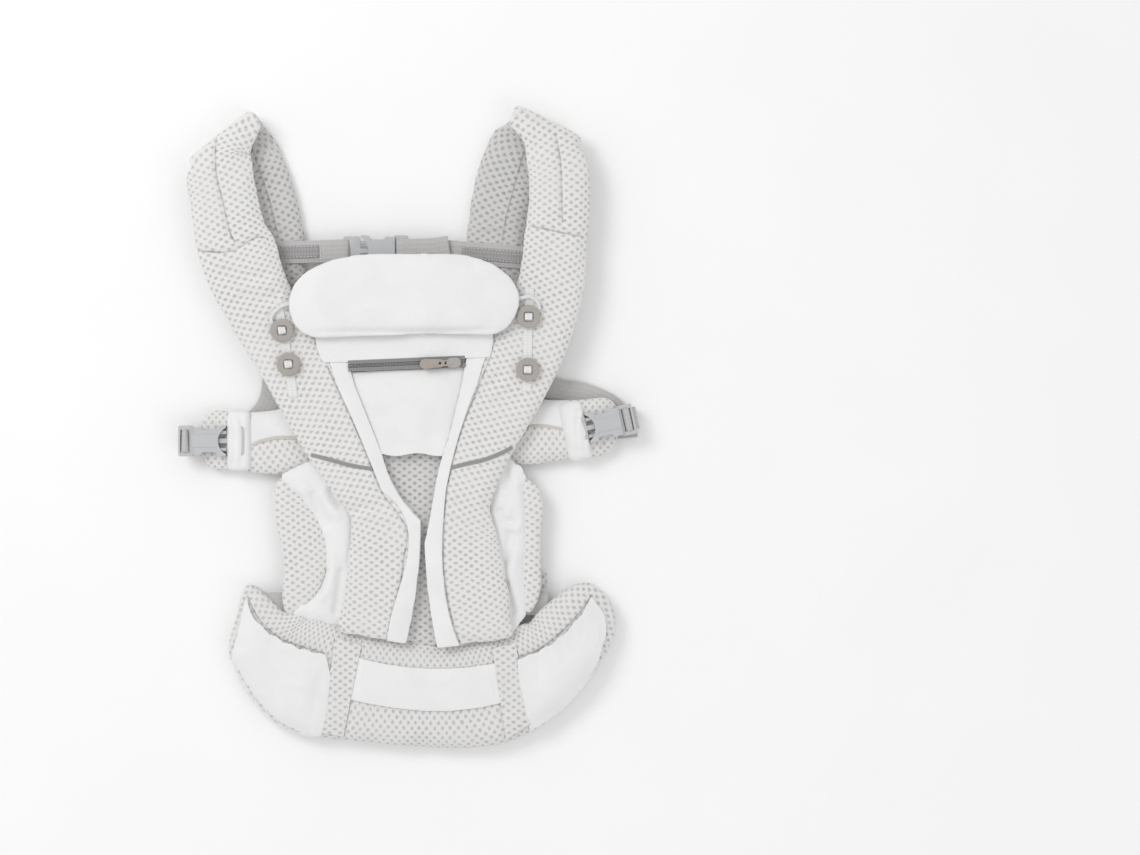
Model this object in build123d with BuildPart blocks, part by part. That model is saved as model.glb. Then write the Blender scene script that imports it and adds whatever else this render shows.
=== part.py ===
from build123d import *
import math
import os

os.makedirs("parts", exist_ok=True)

# Soft baby carrier, laid flat on its back. X runs to its right, Y towards the shoulder straps and Z up.
# The origin is on the table, under the middle of the carrier. Sizes are millimetres.

# ---- Driving dimensions ----

# Overall size laid flat. The cloth pattern is drawn at drawn_width x drawn_length and graded with it.
carrier_width = 504.0
carrier_length = 704.0
drawn_width = 504.0
drawn_length = 704.0

# Cloth and padding
pad_thickness = 14.0
fold_gap = 12.0
leg_thickness = 11.0
panel_thickness = 7.0
gusset_thickness = 10.0
wing_thickness = 14.0
lumbar_thickness = 8.0
headrest_thickness = 16.0
hip_pocket_thickness = 5.0
pocket_thickness = 8.0
band_thickness = 2.0
piping_width = 5.0
piping_thickness = 1.2
loop_diameter = 4.0
tape_width = 10.0
tape_thickness = 1.5

# Webbing and side-release buckles
webbing_width = 25.0
webbing_thickness = 2.0
buckle_height = 11.0
buckle_wall = 4.0
buckle_depth = 38.0
ladder_length = 15.0
arm_width = 4.5
arm_height = 4.6
arm_length = 27.0
tongue_width = 5.0
arm_root = 4.0
arm_start = 0.1
arm_relief = 1.2
arm_nose = 2.0
base_thickness = 3.0
base_length = 19.0
base_narrowing = 2.0
base_corner = 3.0
bar_inset = 6.0
tongue_root = 3.0
mouth_dip = 9.0
mouth_rim = 2.5
panel_half = 5.5
panel_relief = 0.6
panel_rim = 3.0
waist_taper = 2.0
shell_round = 0.8
window_start = 9.0
window_length = 20.0
window_bite = 1.8
ladder_height = 5.0
ladder_slot = 3.4
ladder_corner = 2.5
ladder_shares = (0.28, 0.74)
release_travel = 33.0

# Headrest toggles
toggle_radius = 12.8
toggle_thickness = 3.0
toggle_window = 11.0
toggle_corner = 2.5
toggle_round = 1.2
toggle_lift = 3.5

# Zip
zip_tape_width = 11.0
zip_tape_thickness = 1.0
coil_width = 3.0
coil_height = 1.6
slider_length = 16.0
slider_width = 11.0
slider_plate = 1.5
pull_length = 33.0
pull_width = 11.0
pull_hole = 1.5
pull_thickness = 1.8
pin_radius = 0.9
lug_height = 3.6
lug_length = 5.6
lug_width = 2.4
lug_inset = 4.0
pin_rise = 2.0
fork_cheek = 1.6
fork_depth = 8.0

# Clearances
moving_gap = 0.4
pin_gap = 0.3
layer_gap = 1.0
webbing_gap = 0.6
cut_margin = 1.0

# ---- Layer heights, worked out from the table upwards ----

front_low = pad_thickness + fold_gap
front_top = front_low + pad_thickness
leg_top = front_top - layer_gap
leg_low = leg_top - leg_thickness
belt_top = leg_low
panel_top = leg_low - layer_gap
panel_low = panel_top - panel_thickness
wing_top = panel_low
wing_low = wing_top - wing_thickness
gusset_low = panel_top - gusset_thickness
band_top = leg_top + band_thickness
tape_top = leg_top + tape_thickness
headrest_low = band_top + moving_gap
headrest_top = headrest_low + headrest_thickness
toggle_z = tape_top + toggle_lift + toggle_thickness / 2
waist_plane = lumbar_thickness + moving_gap + buckle_height / 2
chest_plane = pad_thickness + moving_gap + webbing_thickness / 2
side_plane = wing_top + moving_gap + buckle_height / 2
under_wing = wing_low - layer_gap
inner_width = webbing_width + 1.0
shell_width = inner_width + 2 * buckle_wall
cavity_height = arm_height + 3 * moving_gap
cavity_depth = arm_length + 5.0
arm_offset = inner_width / 2 - arm_width / 2 - 2 * moving_gap


def at(x, y):
    """A point of the cloth pattern, graded with the carrier's overall size."""
    return (x * carrier_width / drawn_width, y * carrier_length / drawn_length)


def graded(points):
    """A row of pattern points, graded."""
    return [at(x, y) for x, y in points]


def on_line(a, b, y):
    """The point at height y on the straight line through a and b."""
    share = (y - a[1]) / (b[1] - a[1])
    return (a[0] + share * (b[0] - a[0]), y)


def save(piece, label):
    piece.part.label = label
    export_step(piece.part, f"parts/{label}.step")


def edge_line(points):
    """Two points make a straight edge and more a smooth one."""
    if len(points) == 2:
        return Line(*points)
    return Spline(*points)


def cloth(label, edges, low, high):
    """A flat cloth or pad piece: edges in order round its outline, cut to a thickness."""
    with BuildPart() as piece:
        with BuildSketch(Plane.XY.offset(low)):
            with BuildLine():
                for points in edges:
                    edge_line(points)
            make_face()
        extrude(amount=high - low)
    save(piece, label)


def strip_outline(points, width):
    """The outline of a flat strip of even width along a line of points, with mitred corners."""
    sides = []
    for side in (1, -1):
        row = []
        for i, point in enumerate(points):
            before = Vector(*points[max(i - 1, 0)])
            after = Vector(*points[min(i + 1, len(points) - 1)])
            here = Vector(*point)
            ways = [(here - before), (after - here)]
            ways = [way.normalized() for way in ways if way.length > 0]
            along = (ways[0] + ways[-1]).normalized()
            reach = side * width / 2 / along.dot(ways[0])
            row.append((here.X - along.Y * reach, here.Y + along.X * reach))
        sides.append(row)
    return sides[0] + sides[1][::-1]


def strip(label, points, width, low, high):
    """Webbing, tape or piping lying flat."""
    with BuildPart() as piece:
        with BuildSketch(Plane.XY.offset(low)):
            with BuildLine():
                Polyline(*strip_outline(points, width), close=True)
            make_face()
        extrude(amount=high - low)
    save(piece, label)


# ---- Waist belt ----

# The belt pad is one curved foam piece. Its upper edge carries the legs, the gussets and the back panel.
belt_left_tip = graded([(-198, -245), (-181, -173)])
belt_left_shoulder = graded([(-172, -176), (-136, -205)])
belt_right_shoulder = graded([(146, -203), (181, -176)])
belt_right_tip = graded([(203, -171), (229, -217), (220, -242)])
belt_top_edge = graded(
    [(-136, -205), (-100, -216), (-49, -232), (10, -240), (60, -240), (115, -230), (146, -203)]
)
belt_bottom_right = [(220, -242), (203, -270), (173, -306), (110, -343), (45, -350)]
belt_bottom_left = [(-72, -341), (-143, -323), (-182, -275), (-198, -245)]
belt_bottom_edge = graded(belt_bottom_right + belt_bottom_left)
belt_edges = [
    belt_left_tip,
    [belt_left_tip[1], belt_left_shoulder[0]],
    belt_left_shoulder,
    belt_top_edge,
    belt_right_shoulder,
    [belt_right_shoulder[1], belt_right_tip[0]],
    belt_right_tip,
    belt_bottom_edge,
]
cloth("waist_belt_pad", belt_edges, 0, belt_top)

# Two hip pockets of smooth cloth lie on the belt's ends.
left_pocket_side = graded([(-91, -248), (-92, -279), (-100, -328)])
left_pocket_edges = [
    graded([(-177, -186), (-156, -219), (-117, -240), (-91, -248)]),
    left_pocket_side,
    graded([(-100, -328), (-143, -318), (-179, -276), (-192, -247)]),
    graded([(-192, -247), (-177, -186)]),
]
cloth("left_hip_pocket", left_pocket_edges, belt_top, belt_top + hip_pocket_thickness)

right_pocket_side = graded([(140, -322), (133, -287), (125, -252)])
right_pocket_edges = [
    right_pocket_side,
    graded([(125, -252), (160, -234), (203, -184)]),
    graded([(203, -184), (219, -215), (214, -241)]),
    graded([(214, -241), (192, -279), (140, -322)]),
]
cloth("right_hip_pocket", right_pocket_edges, belt_top, belt_top + hip_pocket_thickness)

# Two upright strips of spacer mesh and the smooth band between them.
with BuildPart() as belt_mesh_strips:
    for corners in (
        [(-79, -228), (-50, -237), (-70, -337), (-94, -333)],
        [(94, -241), (119, -234), (136, -323), (109, -340)],
    ):
        with BuildSketch(Plane.XY.offset(belt_top)):
            with BuildLine():
                Polyline(*graded(corners), close=True)
            make_face()
        extrude(amount=band_thickness)
save(belt_mesh_strips, "belt_mesh_strips")

centre_band_edges = [
    graded([(-49, -250), (14, -262), (53, -262), (93, -256)]),
    graded([(93, -256), (99, -299)]),
    graded([(99, -299), (61, -307), (14, -308), (-56, -296)]),
    graded([(-56, -296), (-49, -250)]),
]
cloth("belt_centre_band", centre_band_edges, belt_top, belt_top + band_thickness)

# The lumbar pad lies behind the body, on the wearer's back.
lumbar_edges = [
    graded([(-132, -162), (155, -158)]),
    graded([(155, -158), (148, -190)]),
    graded([(148, -190), (110, -204)]),
    graded([(110, -204), (-105, -204)]),
    graded([(-105, -204), (-128, -190)]),
    graded([(-128, -190), (-132, -162)]),
]
cloth("lumbar_pad", lumbar_edges, 0, lumbar_thickness)


# ---- Side-release buckles ----


def buckle_male(label, seat):
    """The male half: a base with its webbing bar, and the guide tongue. seat is at the mouth, X outwards."""
    with BuildPart() as male:
        with BuildSketch(seat.offset(-base_thickness / 2)):
            with Locations((-base_length / 2 - moving_gap, 0)):
                RectangleRounded(base_length, shell_width - base_narrowing, base_corner)
            with Locations((-base_length + bar_inset, 0)):
                Rectangle(2 * webbing_thickness, webbing_width + webbing_gap, mode=Mode.SUBTRACT)
            with Locations((arm_length / 2 - tongue_root, 0)):
                Rectangle(arm_length, tongue_width)
        extrude(amount=base_thickness)
        for side in (1, -1):
            with BuildSketch(seat.offset(-arm_height / 2)):
                with Locations((-moving_gap - arm_root / 2, side * arm_offset)):
                    Rectangle(arm_root, arm_width)
            extrude(amount=arm_height)
    save(male, label)


def buckle_arm(label, seat, side):
    """One spring arm of the male half, thicker at its tip, where a finger presses it."""
    inner = side * (arm_offset - arm_width / 2)
    outer = side * (arm_offset + arm_width / 2)
    thinned = outer - side * arm_relief
    with BuildPart() as arm:
        with BuildSketch(seat.offset(-arm_height / 2)):
            with BuildLine():
                Polyline(
                    (arm_start, inner),
                    (arm_length / 2, inner),
                    (arm_length - arm_nose, inner - side * moving_gap),
                    (arm_length, inner + side * arm_relief),
                    (arm_length - arm_nose, outer - side * moving_gap),
                    (arm_length * 2 / 3, outer),
                    (arm_length / 3, thinned),
                    (arm_start, thinned),
                    close=True,
                )
            make_face()
        extrude(amount=arm_height)
    save(arm, label)


def buckle_female(label, seat):
    """The female half: a shell with side windows, and a ladder lock with two slots at its outer end."""
    half = shell_width / 2
    far_half = half - waist_taper
    with BuildPart() as female:
        with BuildSketch(seat.offset(-buckle_height / 2)):
            with BuildLine():
                Line((buckle_depth, far_half), (moving_gap, half))
                Line((moving_gap, half), (moving_gap, half - mouth_rim))
                ThreePointArc((moving_gap, half - mouth_rim), (mouth_dip, 0), (moving_gap, mouth_rim - half))
                Line((moving_gap, mouth_rim - half), (moving_gap, -half))
                Polyline((moving_gap, -half), (buckle_depth, -far_half), (buckle_depth, far_half))
            make_face()
        extrude(amount=buckle_height)
        fillet(female.edges().group_by(SortBy.LENGTH)[-1], radius=shell_round)
        with BuildSketch(seat.offset(-cavity_height / 2)):
            with Locations((cavity_depth / 2 - cut_margin, 0)):
                Rectangle(cavity_depth + 2 * cut_margin, inner_width)
        extrude(amount=cavity_height, mode=Mode.SUBTRACT)
        for side in (1, -1):
            with BuildSketch(seat.offset(-buckle_height / 2 - cut_margin)):
                with Locations((window_start + window_length / 2, side * (half + cut_margin))):
                    SlotOverall(window_length, 2 * (buckle_wall + window_bite))
            extrude(amount=buckle_height + 2 * cut_margin, mode=Mode.SUBTRACT)
        # The middle panel stands proud of the cheeks on both faces.
        for face, way in ((buckle_height / 2, -1), (-buckle_height / 2, 1)):
            with BuildSketch(seat.offset(face)):
                for side in (1, -1):
                    with Locations(((buckle_depth + mouth_dip) / 2, side * (half + panel_half) / 2)):
                        Rectangle(buckle_depth - mouth_dip - panel_rim, half - panel_half - panel_rim)
            extrude(amount=way * panel_relief, mode=Mode.SUBTRACT)
        with BuildSketch(seat.offset(-ladder_height / 2)):
            with Locations((buckle_depth + ladder_length / 2 - cut_margin, 0)):
                RectangleRounded(ladder_length + 2 * cut_margin, shell_width, ladder_corner)
            for share in ladder_shares:
                with Locations((buckle_depth + ladder_length * share, 0)):
                    Rectangle(ladder_slot, webbing_width + webbing_gap, mode=Mode.SUBTRACT)
        extrude(amount=ladder_height)
    save(female, label)


# The waist webbing's lower edge stays just above the lower end of the belt's shoulder.
waist_y = belt_left_shoulder[1][1] + webbing_width / 2 + layer_gap / 2
waist_seat = Plane(origin=(at(-24, 0)[0], waist_y, waist_plane), x_dir=(1, 0, 0), z_dir=(0, 0, 1))
chest_seat = Plane(origin=(*at(-52, 198), chest_plane), x_dir=(1, 0, 0), z_dir=(0, 0, 1))
left_seat = Plane(origin=(*at(-199, -12), side_plane), x_dir=(-1, 0, 0), z_dir=(0, 0, 1))
right_tilt = math.radians(12)
right_seat = Plane(
    origin=(*at(198, 2), side_plane),
    x_dir=(math.cos(right_tilt), math.sin(right_tilt), 0),
    z_dir=(0, 0, 1),
)
for label, seat in (
    ("waist_buckle", waist_seat),
    ("chest_buckle", chest_seat),
    ("left_side_buckle", left_seat),
    ("right_side_buckle", right_seat),
):
    buckle_male(f"{label}_male", seat)
    buckle_female(f"{label}_female", seat)
    buckle_arm(f"{label}_arm_a", seat, 1)
    buckle_arm(f"{label}_arm_b", seat, -1)

# ---- Waist webbing, from the belt's ends to its buckle behind the body ----

waist_upper = waist_y + webbing_width / 2
waist_lower = waist_y - webbing_width / 2
waist_left_end = waist_seat.origin.X - base_length - moving_gap
waist_right_start = waist_seat.origin.X + buckle_depth + ladder_length + moving_gap + release_travel
with BuildPart() as waist_webbing_left:
    with BuildSketch(Plane.XY.offset(waist_plane - webbing_thickness / 2)):
        with BuildLine():
            Polyline(
                on_line(*belt_left_shoulder, waist_upper),
                (waist_left_end, waist_upper),
                (waist_left_end, waist_lower),
                on_line(*belt_left_shoulder, waist_lower),
                close=True,
            )
        make_face()
    extrude(amount=webbing_thickness)
save(waist_webbing_left, "waist_webbing_left")

with BuildPart() as waist_webbing_right:
    with BuildSketch(Plane.XY.offset(waist_plane - webbing_thickness / 2)):
        with BuildLine():
            Polyline(
                on_line(*belt_right_shoulder, waist_upper),
                (waist_right_start, waist_upper),
                (waist_right_start, waist_lower),
                on_line(*belt_right_shoulder, waist_lower),
                close=True,
            )
        make_face()
    extrude(amount=webbing_thickness)
save(waist_webbing_right, "waist_webbing_right")

# ---- Body: back panel, gussets, legs, bands ----

back_panel_edges = [
    graded([(-112, 166), (-60, 174), (60, 174), (122, 164)]),
    graded([(122, 164), (118, 40)]),
    graded([(118, 40), (118, -22)]),
    graded([(118, -22), (84, -36)]),
    graded([(84, -36), (84, -224)]),
    graded([(84, -224), (60, -236), (10, -236), (-52, -226)]),
    graded([(-52, -226), (-54, -40)]),
    graded([(-54, -40), (-112, -22)]),
    graded([(-112, -22), (-112, 40)]),
    graded([(-112, 40), (-112, 166)]),
]
cloth("back_panel", back_panel_edges, panel_low, panel_top)

# Each gusset is smooth cloth beside the leg and a lobe of spacer mesh outside it.
left_lobe_curve = graded([(-141, -52), (-118, -73), (-94, -112), (-94, -162), (-131, -203)])
right_lobe_curve = graded([(127, -54), (129, -99), (129, -147), (131, -203)])
left_lobe_outer = graded([(-131, -203), (-136, -190), (-135, -164), (-144, -90), (-141, -52)])
cloth("left_gusset_mesh", [left_lobe_curve, left_lobe_outer], gusset_low, panel_top)
left_lining_edges = [
    left_lobe_curve,
    graded([(-131, -203), (-82, -214)]),
    graded([(-82, -214), (-56, -218)]),
    graded([(-56, -218), (-56, -52)]),
    graded([(-56, -52), (-141, -52)]),
]
cloth("left_gusset_lining", left_lining_edges, gusset_low, panel_top)
right_lobe_outer = graded([(131, -203), (137, -196), (145, -120), (141, -63), (127, -54)])
cloth("right_gusset_mesh", [right_lobe_curve, right_lobe_outer], gusset_low, panel_top)
right_lining_edges = [
    right_lobe_curve,
    graded([(131, -203), (114, -224)]),
    graded([(114, -224), (87, -230)]),
    graded([(87, -230), (87, -54)]),
    graded([(87, -54), (127, -54)]),
]
cloth("right_gusset_lining", right_lining_edges, gusset_low, panel_top)

# The outer edges of the legs, from the cross seam of the shoulder pad down to the belt.
left_seam = graded([(-231, 199), (-150, 208)])
right_seam = graded([(132, 222), (197, 210)])
left_leg_edges = [
    left_seam,
    graded([(-150, 208), (-126, 154), (-97, 101), (-64, 66)]),
    graded([(-64, 66), (-27, -27)]),
    graded([(-27, -27), (-4, -78), (15, -99)]),
    graded([(15, -99), (12, -160), (-1, -234)]),
    graded([(-1, -234), (-74, -222)]),
    graded([(-74, -222), (-64, -147), (-61, -95)]),
    graded([(-61, -95), (-92, -55), (-126, -1), (-164, 66), (-210, 143), (-231, 199)]),
]
cloth("left_panel_leg", left_leg_edges, leg_low, leg_top)
right_leg_edges = [
    right_seam,
    graded([(197, 210), (188, 130), (150, 33), (108, -42), (91, -88)]),
    graded([(91, -88), (102, -131), (114, -229)]),
    graded([(114, -229), (34, -239)]),
    graded([(34, -239), (22, -158), (20, -124)]),
    graded([(20, -124), (27, -91), (36, -42), (46, -11)]),
    graded([(46, -11), (66, 71)]),
    graded([(66, 71), (94, 104), (120, 160), (132, 222)]),
]
cloth("right_panel_leg", right_leg_edges, leg_low, leg_top)

# White bands are sewn along the inner edge of each leg.
left_band_edges = [
    graded([(-64, 66), (-27, -27)]),
    graded([(-27, -27), (-4, -78), (15, -99)]),
    graded([(15, -99), (12, -160), (-1, -234)]),
    graded([(-1, -234), (-21, -231)]),
    graded([(-21, -231), (-6, -168), (2, -112), (-27, -67)]),
    graded([(-27, -67), (-57, 7), (-86, 70)]),
    graded([(-86, 70), (-64, 66)]),
]
cloth("left_v_band", left_band_edges, leg_top, band_top)
right_band_edges = [
    graded([(66, 71), (46, -11)]),
    graded([(46, -11), (36, -42), (27, -91), (20, -124)]),
    graded([(20, -124), (22, -158), (34, -239)]),
    graded([(34, -239), (58, -236)]),
    graded([(58, -236), (40, -158), (40, -103), (43, -67)]),
    graded([(43, -67), (60, 2), (90, 78)]),
    graded([(90, 78), (66, 71)]),
]
cloth("right_v_band", right_band_edges, leg_top, band_top)

# The yoke joins the two legs above the zip, and the pocket hangs below it.
yoke_edges = [
    graded([(-94, 99), (93, 103)]),
    graded([(93, 103), (69, 78)]),
    graded([(69, 78), (-66, 73)]),
    graded([(-66, 73), (-94, 99)]),
]
cloth("yoke", yoke_edges, leg_top - pocket_thickness, leg_top)
pocket_edges = [
    graded([(-62, 63), (63, 69)]),
    graded([(63, 69), (45, -10)]),
    graded([(45, -10), (37, -27)]),
    graded([(37, -27), (-26, -27)]),
    graded([(-26, -27), (-62, 63)]),
]
cloth("pocket_panel", pocket_edges, leg_top - pocket_thickness, leg_top)

with BuildPart() as leg_piping:
    for points in ([(-103, -27), (-75, -36), (-46, -41)], [(53, -40), (84, -34), (114, -20)]):
        with BuildSketch(Plane.XY.offset(leg_top)):
            with BuildLine():
                Polyline(*strip_outline(graded(points), piping_width), close=True)
            make_face()
        extrude(amount=piping_thickness)
save(leg_piping, "leg_piping")

# ---- Zip, slider and pull ----

zip_left = Vector(*at(-66, 68.5))
zip_right = Vector(*at(68, 74.5))
zip_way = (zip_right - zip_left).normalized()
zip_length = (zip_right - zip_left).length
zip_middle = (zip_left + zip_right) * 0.5
zip_seat = Plane(
    origin=(zip_middle.X, zip_middle.Y, leg_top),
    x_dir=(zip_way.X, zip_way.Y, 0),
    z_dir=(0, 0, 1),
)
with BuildPart() as zip_tape:
    with BuildSketch(zip_seat):
        Rectangle(zip_length - slider_length, zip_tape_width)
    extrude(amount=zip_tape_thickness)
    with BuildSketch(zip_seat.offset(zip_tape_thickness)):
        Rectangle(zip_length - slider_length, coil_width)
    extrude(amount=coil_height)
save(zip_tape, "zip_tape")

slider_seat = Plane(
    origin=zip_seat.from_local_coords((zip_length / 2 - slider_length, 0, zip_tape_thickness + moving_gap)),
    x_dir=(zip_way.X, zip_way.Y, 0),
    z_dir=(0, 0, 1),
)
slider_roof = coil_height + moving_gap
pin_height = slider_roof + slider_plate + pin_rise
pin_place = lug_inset - slider_length / 2
with BuildPart() as zip_slider:
    with BuildSketch(slider_seat):
        SlotOverall(slider_length, slider_width)
    extrude(amount=slider_roof + slider_plate)
    with BuildSketch(slider_seat):
        Rectangle(slider_length + 2 * cut_margin, coil_width + 2 * moving_gap)
    extrude(amount=slider_roof, mode=Mode.SUBTRACT)
    with BuildSketch(slider_seat.offset(slider_roof + slider_plate)):
        with Locations((pin_place, 0)):
            Rectangle(lug_length, lug_width)
    extrude(amount=lug_height)
    pin_plane = Plane(
        origin=slider_seat.from_local_coords((pin_place, -slider_width, pin_height)),
        x_dir=(zip_way.X, zip_way.Y, 0),
        z_dir=(-zip_way.Y, zip_way.X, 0),
    )
    with BuildSketch(pin_plane):
        Circle(pin_radius + pin_gap)
    extrude(amount=2 * slider_width, mode=Mode.SUBTRACT)
save(zip_slider, "zip_slider")

fork_inner = lug_width + 2 * moving_gap
fork_width = fork_inner + 2 * fork_cheek
with BuildPart() as zip_pull:
    with BuildSketch(slider_seat.offset(pin_height - pull_thickness / 2)):
        with Locations((pin_place - pull_length / 2 + cut_margin, 0)):
            RectangleRounded(pull_length - 2 * cut_margin, fork_width, pull_thickness / 2)
        with BuildSketch(mode=Mode.PRIVATE) as paddle:
            with Locations((pin_place - pull_length + pull_width / 2, 0)):
                Circle(pull_width / 2)
            with Locations((pin_place - pull_length / 3, 0)):
                Circle(pull_width / 2 - cut_margin)
            make_hull()
        add(paddle.sketch)
        with Locations((pin_place - pull_length / 3, 0)):
            Circle(pull_hole, mode=Mode.SUBTRACT)
        with Locations((pin_place + 2 * cut_margin - fork_depth / 2, 0)):
            Rectangle(fork_depth, fork_inner, mode=Mode.SUBTRACT)
    extrude(amount=pull_thickness)
    # The pin ends inside the cheeks, clear of their outer faces.
    pull_pin_plane = Plane(
        origin=slider_seat.from_local_coords((pin_place, cut_margin - fork_width / 2, pin_height)),
        x_dir=(zip_way.X, zip_way.Y, 0),
        z_dir=(-zip_way.Y, zip_way.X, 0),
    )
    with BuildSketch(pull_pin_plane):
        Circle(pin_radius)
    extrude(amount=fork_width - 2 * cut_margin)
save(zip_pull, "zip_pull")

# ---- Headrest, its loops, and the toggles on their tapes ----

headrest_rise = [(94, 105), (117, 122), (122, 150), (100, 177), (42, 193)]
headrest_fall = [(-8, 193), (-83, 184), (-123, 155), (-124, 122), (-96, 102)]
with BuildPart() as headrest_cushion:
    with BuildSketch(Plane.XY.offset(headrest_low)):
        with BuildLine():
            Line(*graded([(-96, 102), (94, 105)]))
            Spline(*graded(headrest_rise + headrest_fall))
        make_face()
    extrude(amount=headrest_thickness)
save(headrest_cushion, "headrest_cushion")

# Each loop starts inside the cushion's outline and is trimmed to it, so that it always meets its edge.
for label, points in (
    ("left_headrest_loop", [(-112, 138), (-137, 134), (-148, 127)]),
    ("right_headrest_loop", [(110, 138), (134, 143), (146, 141)]),
):
    with BuildPart() as loop:
        with BuildSketch(Plane.XY.offset(headrest_low)):
            with BuildLine():
                Polyline(*strip_outline(graded(points), loop_diameter), close=True)
            make_face()
        extrude(amount=loop_diameter)
        add(headrest_cushion.part, mode=Mode.SUBTRACT)
    save(loop, label)

toggles = {
    "left_upper_toggle": (-136, 109),
    "left_lower_toggle": (-129, 72),
    "right_upper_toggle": (134, 124),
    "right_lower_toggle": (133, 66),
}


def toggle_tape(label, start, end, stations):
    """The sewn tape, with a bight standing up through the window of each toggle."""
    way = (Vector(*end) - Vector(*start)).normalized()
    with BuildPart() as tape:
        with BuildSketch(Plane.XY.offset(leg_top)):
            with BuildLine():
                Polyline(*strip_outline([start, end], tape_width), close=True)
            make_face()
        extrude(amount=tape_thickness)
        for place in stations:
            bight = Plane(origin=(*place, tape_top), x_dir=(way.X, way.Y, 0), z_dir=(0, 0, 1))
            with BuildSketch(bight):
                Rectangle(bight_size, bight_size)
            extrude(amount=toggle_lift + toggle_thickness)
    save(tape, label)


bight_size = toggle_window - 4.0
toggle_tape(
    "left_toggle_tape",
    at(-141, 142),
    at(-124, 36),
    [at(*toggles["left_upper_toggle"]), at(*toggles["left_lower_toggle"])],
)
toggle_tape(
    "right_toggle_tape",
    at(135, 155),
    at(132, 42),
    [at(*toggles["right_upper_toggle"]), at(*toggles["right_lower_toggle"])],
)

for label, place in toggles.items():
    with BuildPart() as toggle:
        with BuildSketch(Plane.XY.offset(toggle_z - toggle_thickness / 2)):
            with Locations(at(*place)):
                Circle(toggle_radius)
                RectangleRounded(toggle_window, toggle_window, toggle_corner, mode=Mode.SUBTRACT)
        extrude(amount=toggle_thickness)
        fillet(toggle.edges().filter_by(GeomType.CIRCLE).group_by(SortBy.LENGTH)[-1], radius=toggle_round)
    save(toggle, label)

# ---- Shoulder straps, folded over at the top ----


def shoulder_pad(label, apex, corner, front, rear):
    """One padded strap: its front and rear legs run on from the corner of the round fold that joins them."""
    edge = Vector(*corner) - Vector(*apex)
    way = edge.normalized()
    outwards = Vector(way.Y, -way.X, 0)
    if outwards.Y < 0:
        outwards = -outwards
    fold_radius = front_top / 2
    near = Vector(*apex) - outwards * fold_radius
    far = Vector(*corner) - outwards * fold_radius
    fold_plane = Plane(
        origin=(near.X, near.Y, fold_radius),
        x_dir=(outwards.X, outwards.Y, 0),
        z_dir=(way.X, way.Y, 0),
    )
    with BuildPart() as pad:
        for edges, low in ((front, front_low), (rear, 0)):
            with BuildSketch(Plane.XY.offset(low)):
                with BuildLine():
                    Line((near.X, near.Y), (far.X, far.Y))
                    Line((far.X, far.Y), edges[0][0])
                    for points in edges:
                        edge_line(points)
                    Line(edges[-1][-1], (near.X, near.Y))
                make_face()
            extrude(amount=pad_thickness)
        with BuildSketch(fold_plane):
            Circle(fold_radius)
            Circle(fold_gap / 2, mode=Mode.SUBTRACT)
            with Locations((-fold_radius, 0)):
                Rectangle(2 * fold_radius, 4 * fold_radius, mode=Mode.SUBTRACT)
        extrude(amount=edge.length)
    save(pad, label)


shoulder_pad(
    "left_shoulder_pad",
    at(-174, 349),
    at(-241, 298),
    [
        graded([(-241, 270), (-235, 231), (-231, 199)]),
        left_seam,
        graded([(-150, 208), (-163, 250), (-174, 310)]),
    ],
    [
        graded([(-205, 250), (-186, 212), (-178, 150)]),
        graded([(-178, 150), (-116, 150)]),
        graded([(-116, 150), (-116, 212), (-133, 283), (-148, 318)]),
    ],
)
shoulder_pad(
    "right_shoulder_pad",
    at(122, 354),
    at(192, 322),
    [
        graded([(199, 285), (200, 240), (197, 210)]),
        [right_seam[1], right_seam[0]],
        graded([(132, 222), (135, 273), (131, 318)]),
    ],
    [
        graded([(158, 285), (128, 212), (126, 150)]),
        graded([(126, 150), (64, 150)]),
        graded([(64, 150), (66, 212), (81, 295), (98, 330)]),
    ],
)

# The shoulder webbing leaves the lower end of the rear leg and runs behind the wing to the side buckle.
strip(
    "left_shoulder_webbing",
    graded([(-147, 149.5), (-150, 40), (-185, 2), (-242, -12)]),
    webbing_width,
    under_wing - webbing_thickness,
    under_wing,
)
strip(
    "right_shoulder_webbing",
    graded([(95, 149.5), (95, 125), (130, 70), (165, 46), (212, 40), (240, 10)]),
    webbing_width,
    under_wing - webbing_thickness,
    under_wing,
)

# ---- Chest strap ----

chest_y = chest_seat.origin.Y
chest_x = chest_seat.origin.X
chest_base = chest_x - base_length - moving_gap
chest_lock = chest_x + buckle_depth + ladder_length
strip(
    "chest_webbing_left",
    [at(-150, 196), (chest_base - moving_gap, chest_y)],
    webbing_width,
    chest_plane - webbing_thickness / 2,
    chest_plane + webbing_thickness / 2,
)
strip(
    "chest_webbing_right",
    [(chest_lock + release_travel + layer_gap + moving_gap, chest_y), at(131, 190)],
    webbing_width,
    chest_plane - webbing_thickness / 2,
    chest_plane + webbing_thickness / 2,
)
# The adjustable layer and its loose tail move with the female half.
slack_low = chest_plane + webbing_thickness / 2 + 2 * moving_gap + ladder_height / 2
strip(
    "chest_webbing_slack",
    [(chest_lock - ladder_length + 2, chest_y), (chest_lock + 2 * webbing_width, chest_y + 6)],
    webbing_width,
    slack_low,
    slack_low + webbing_thickness,
)

# ---- Wings, with a cuff at each end that holds the side buckle ----

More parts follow.
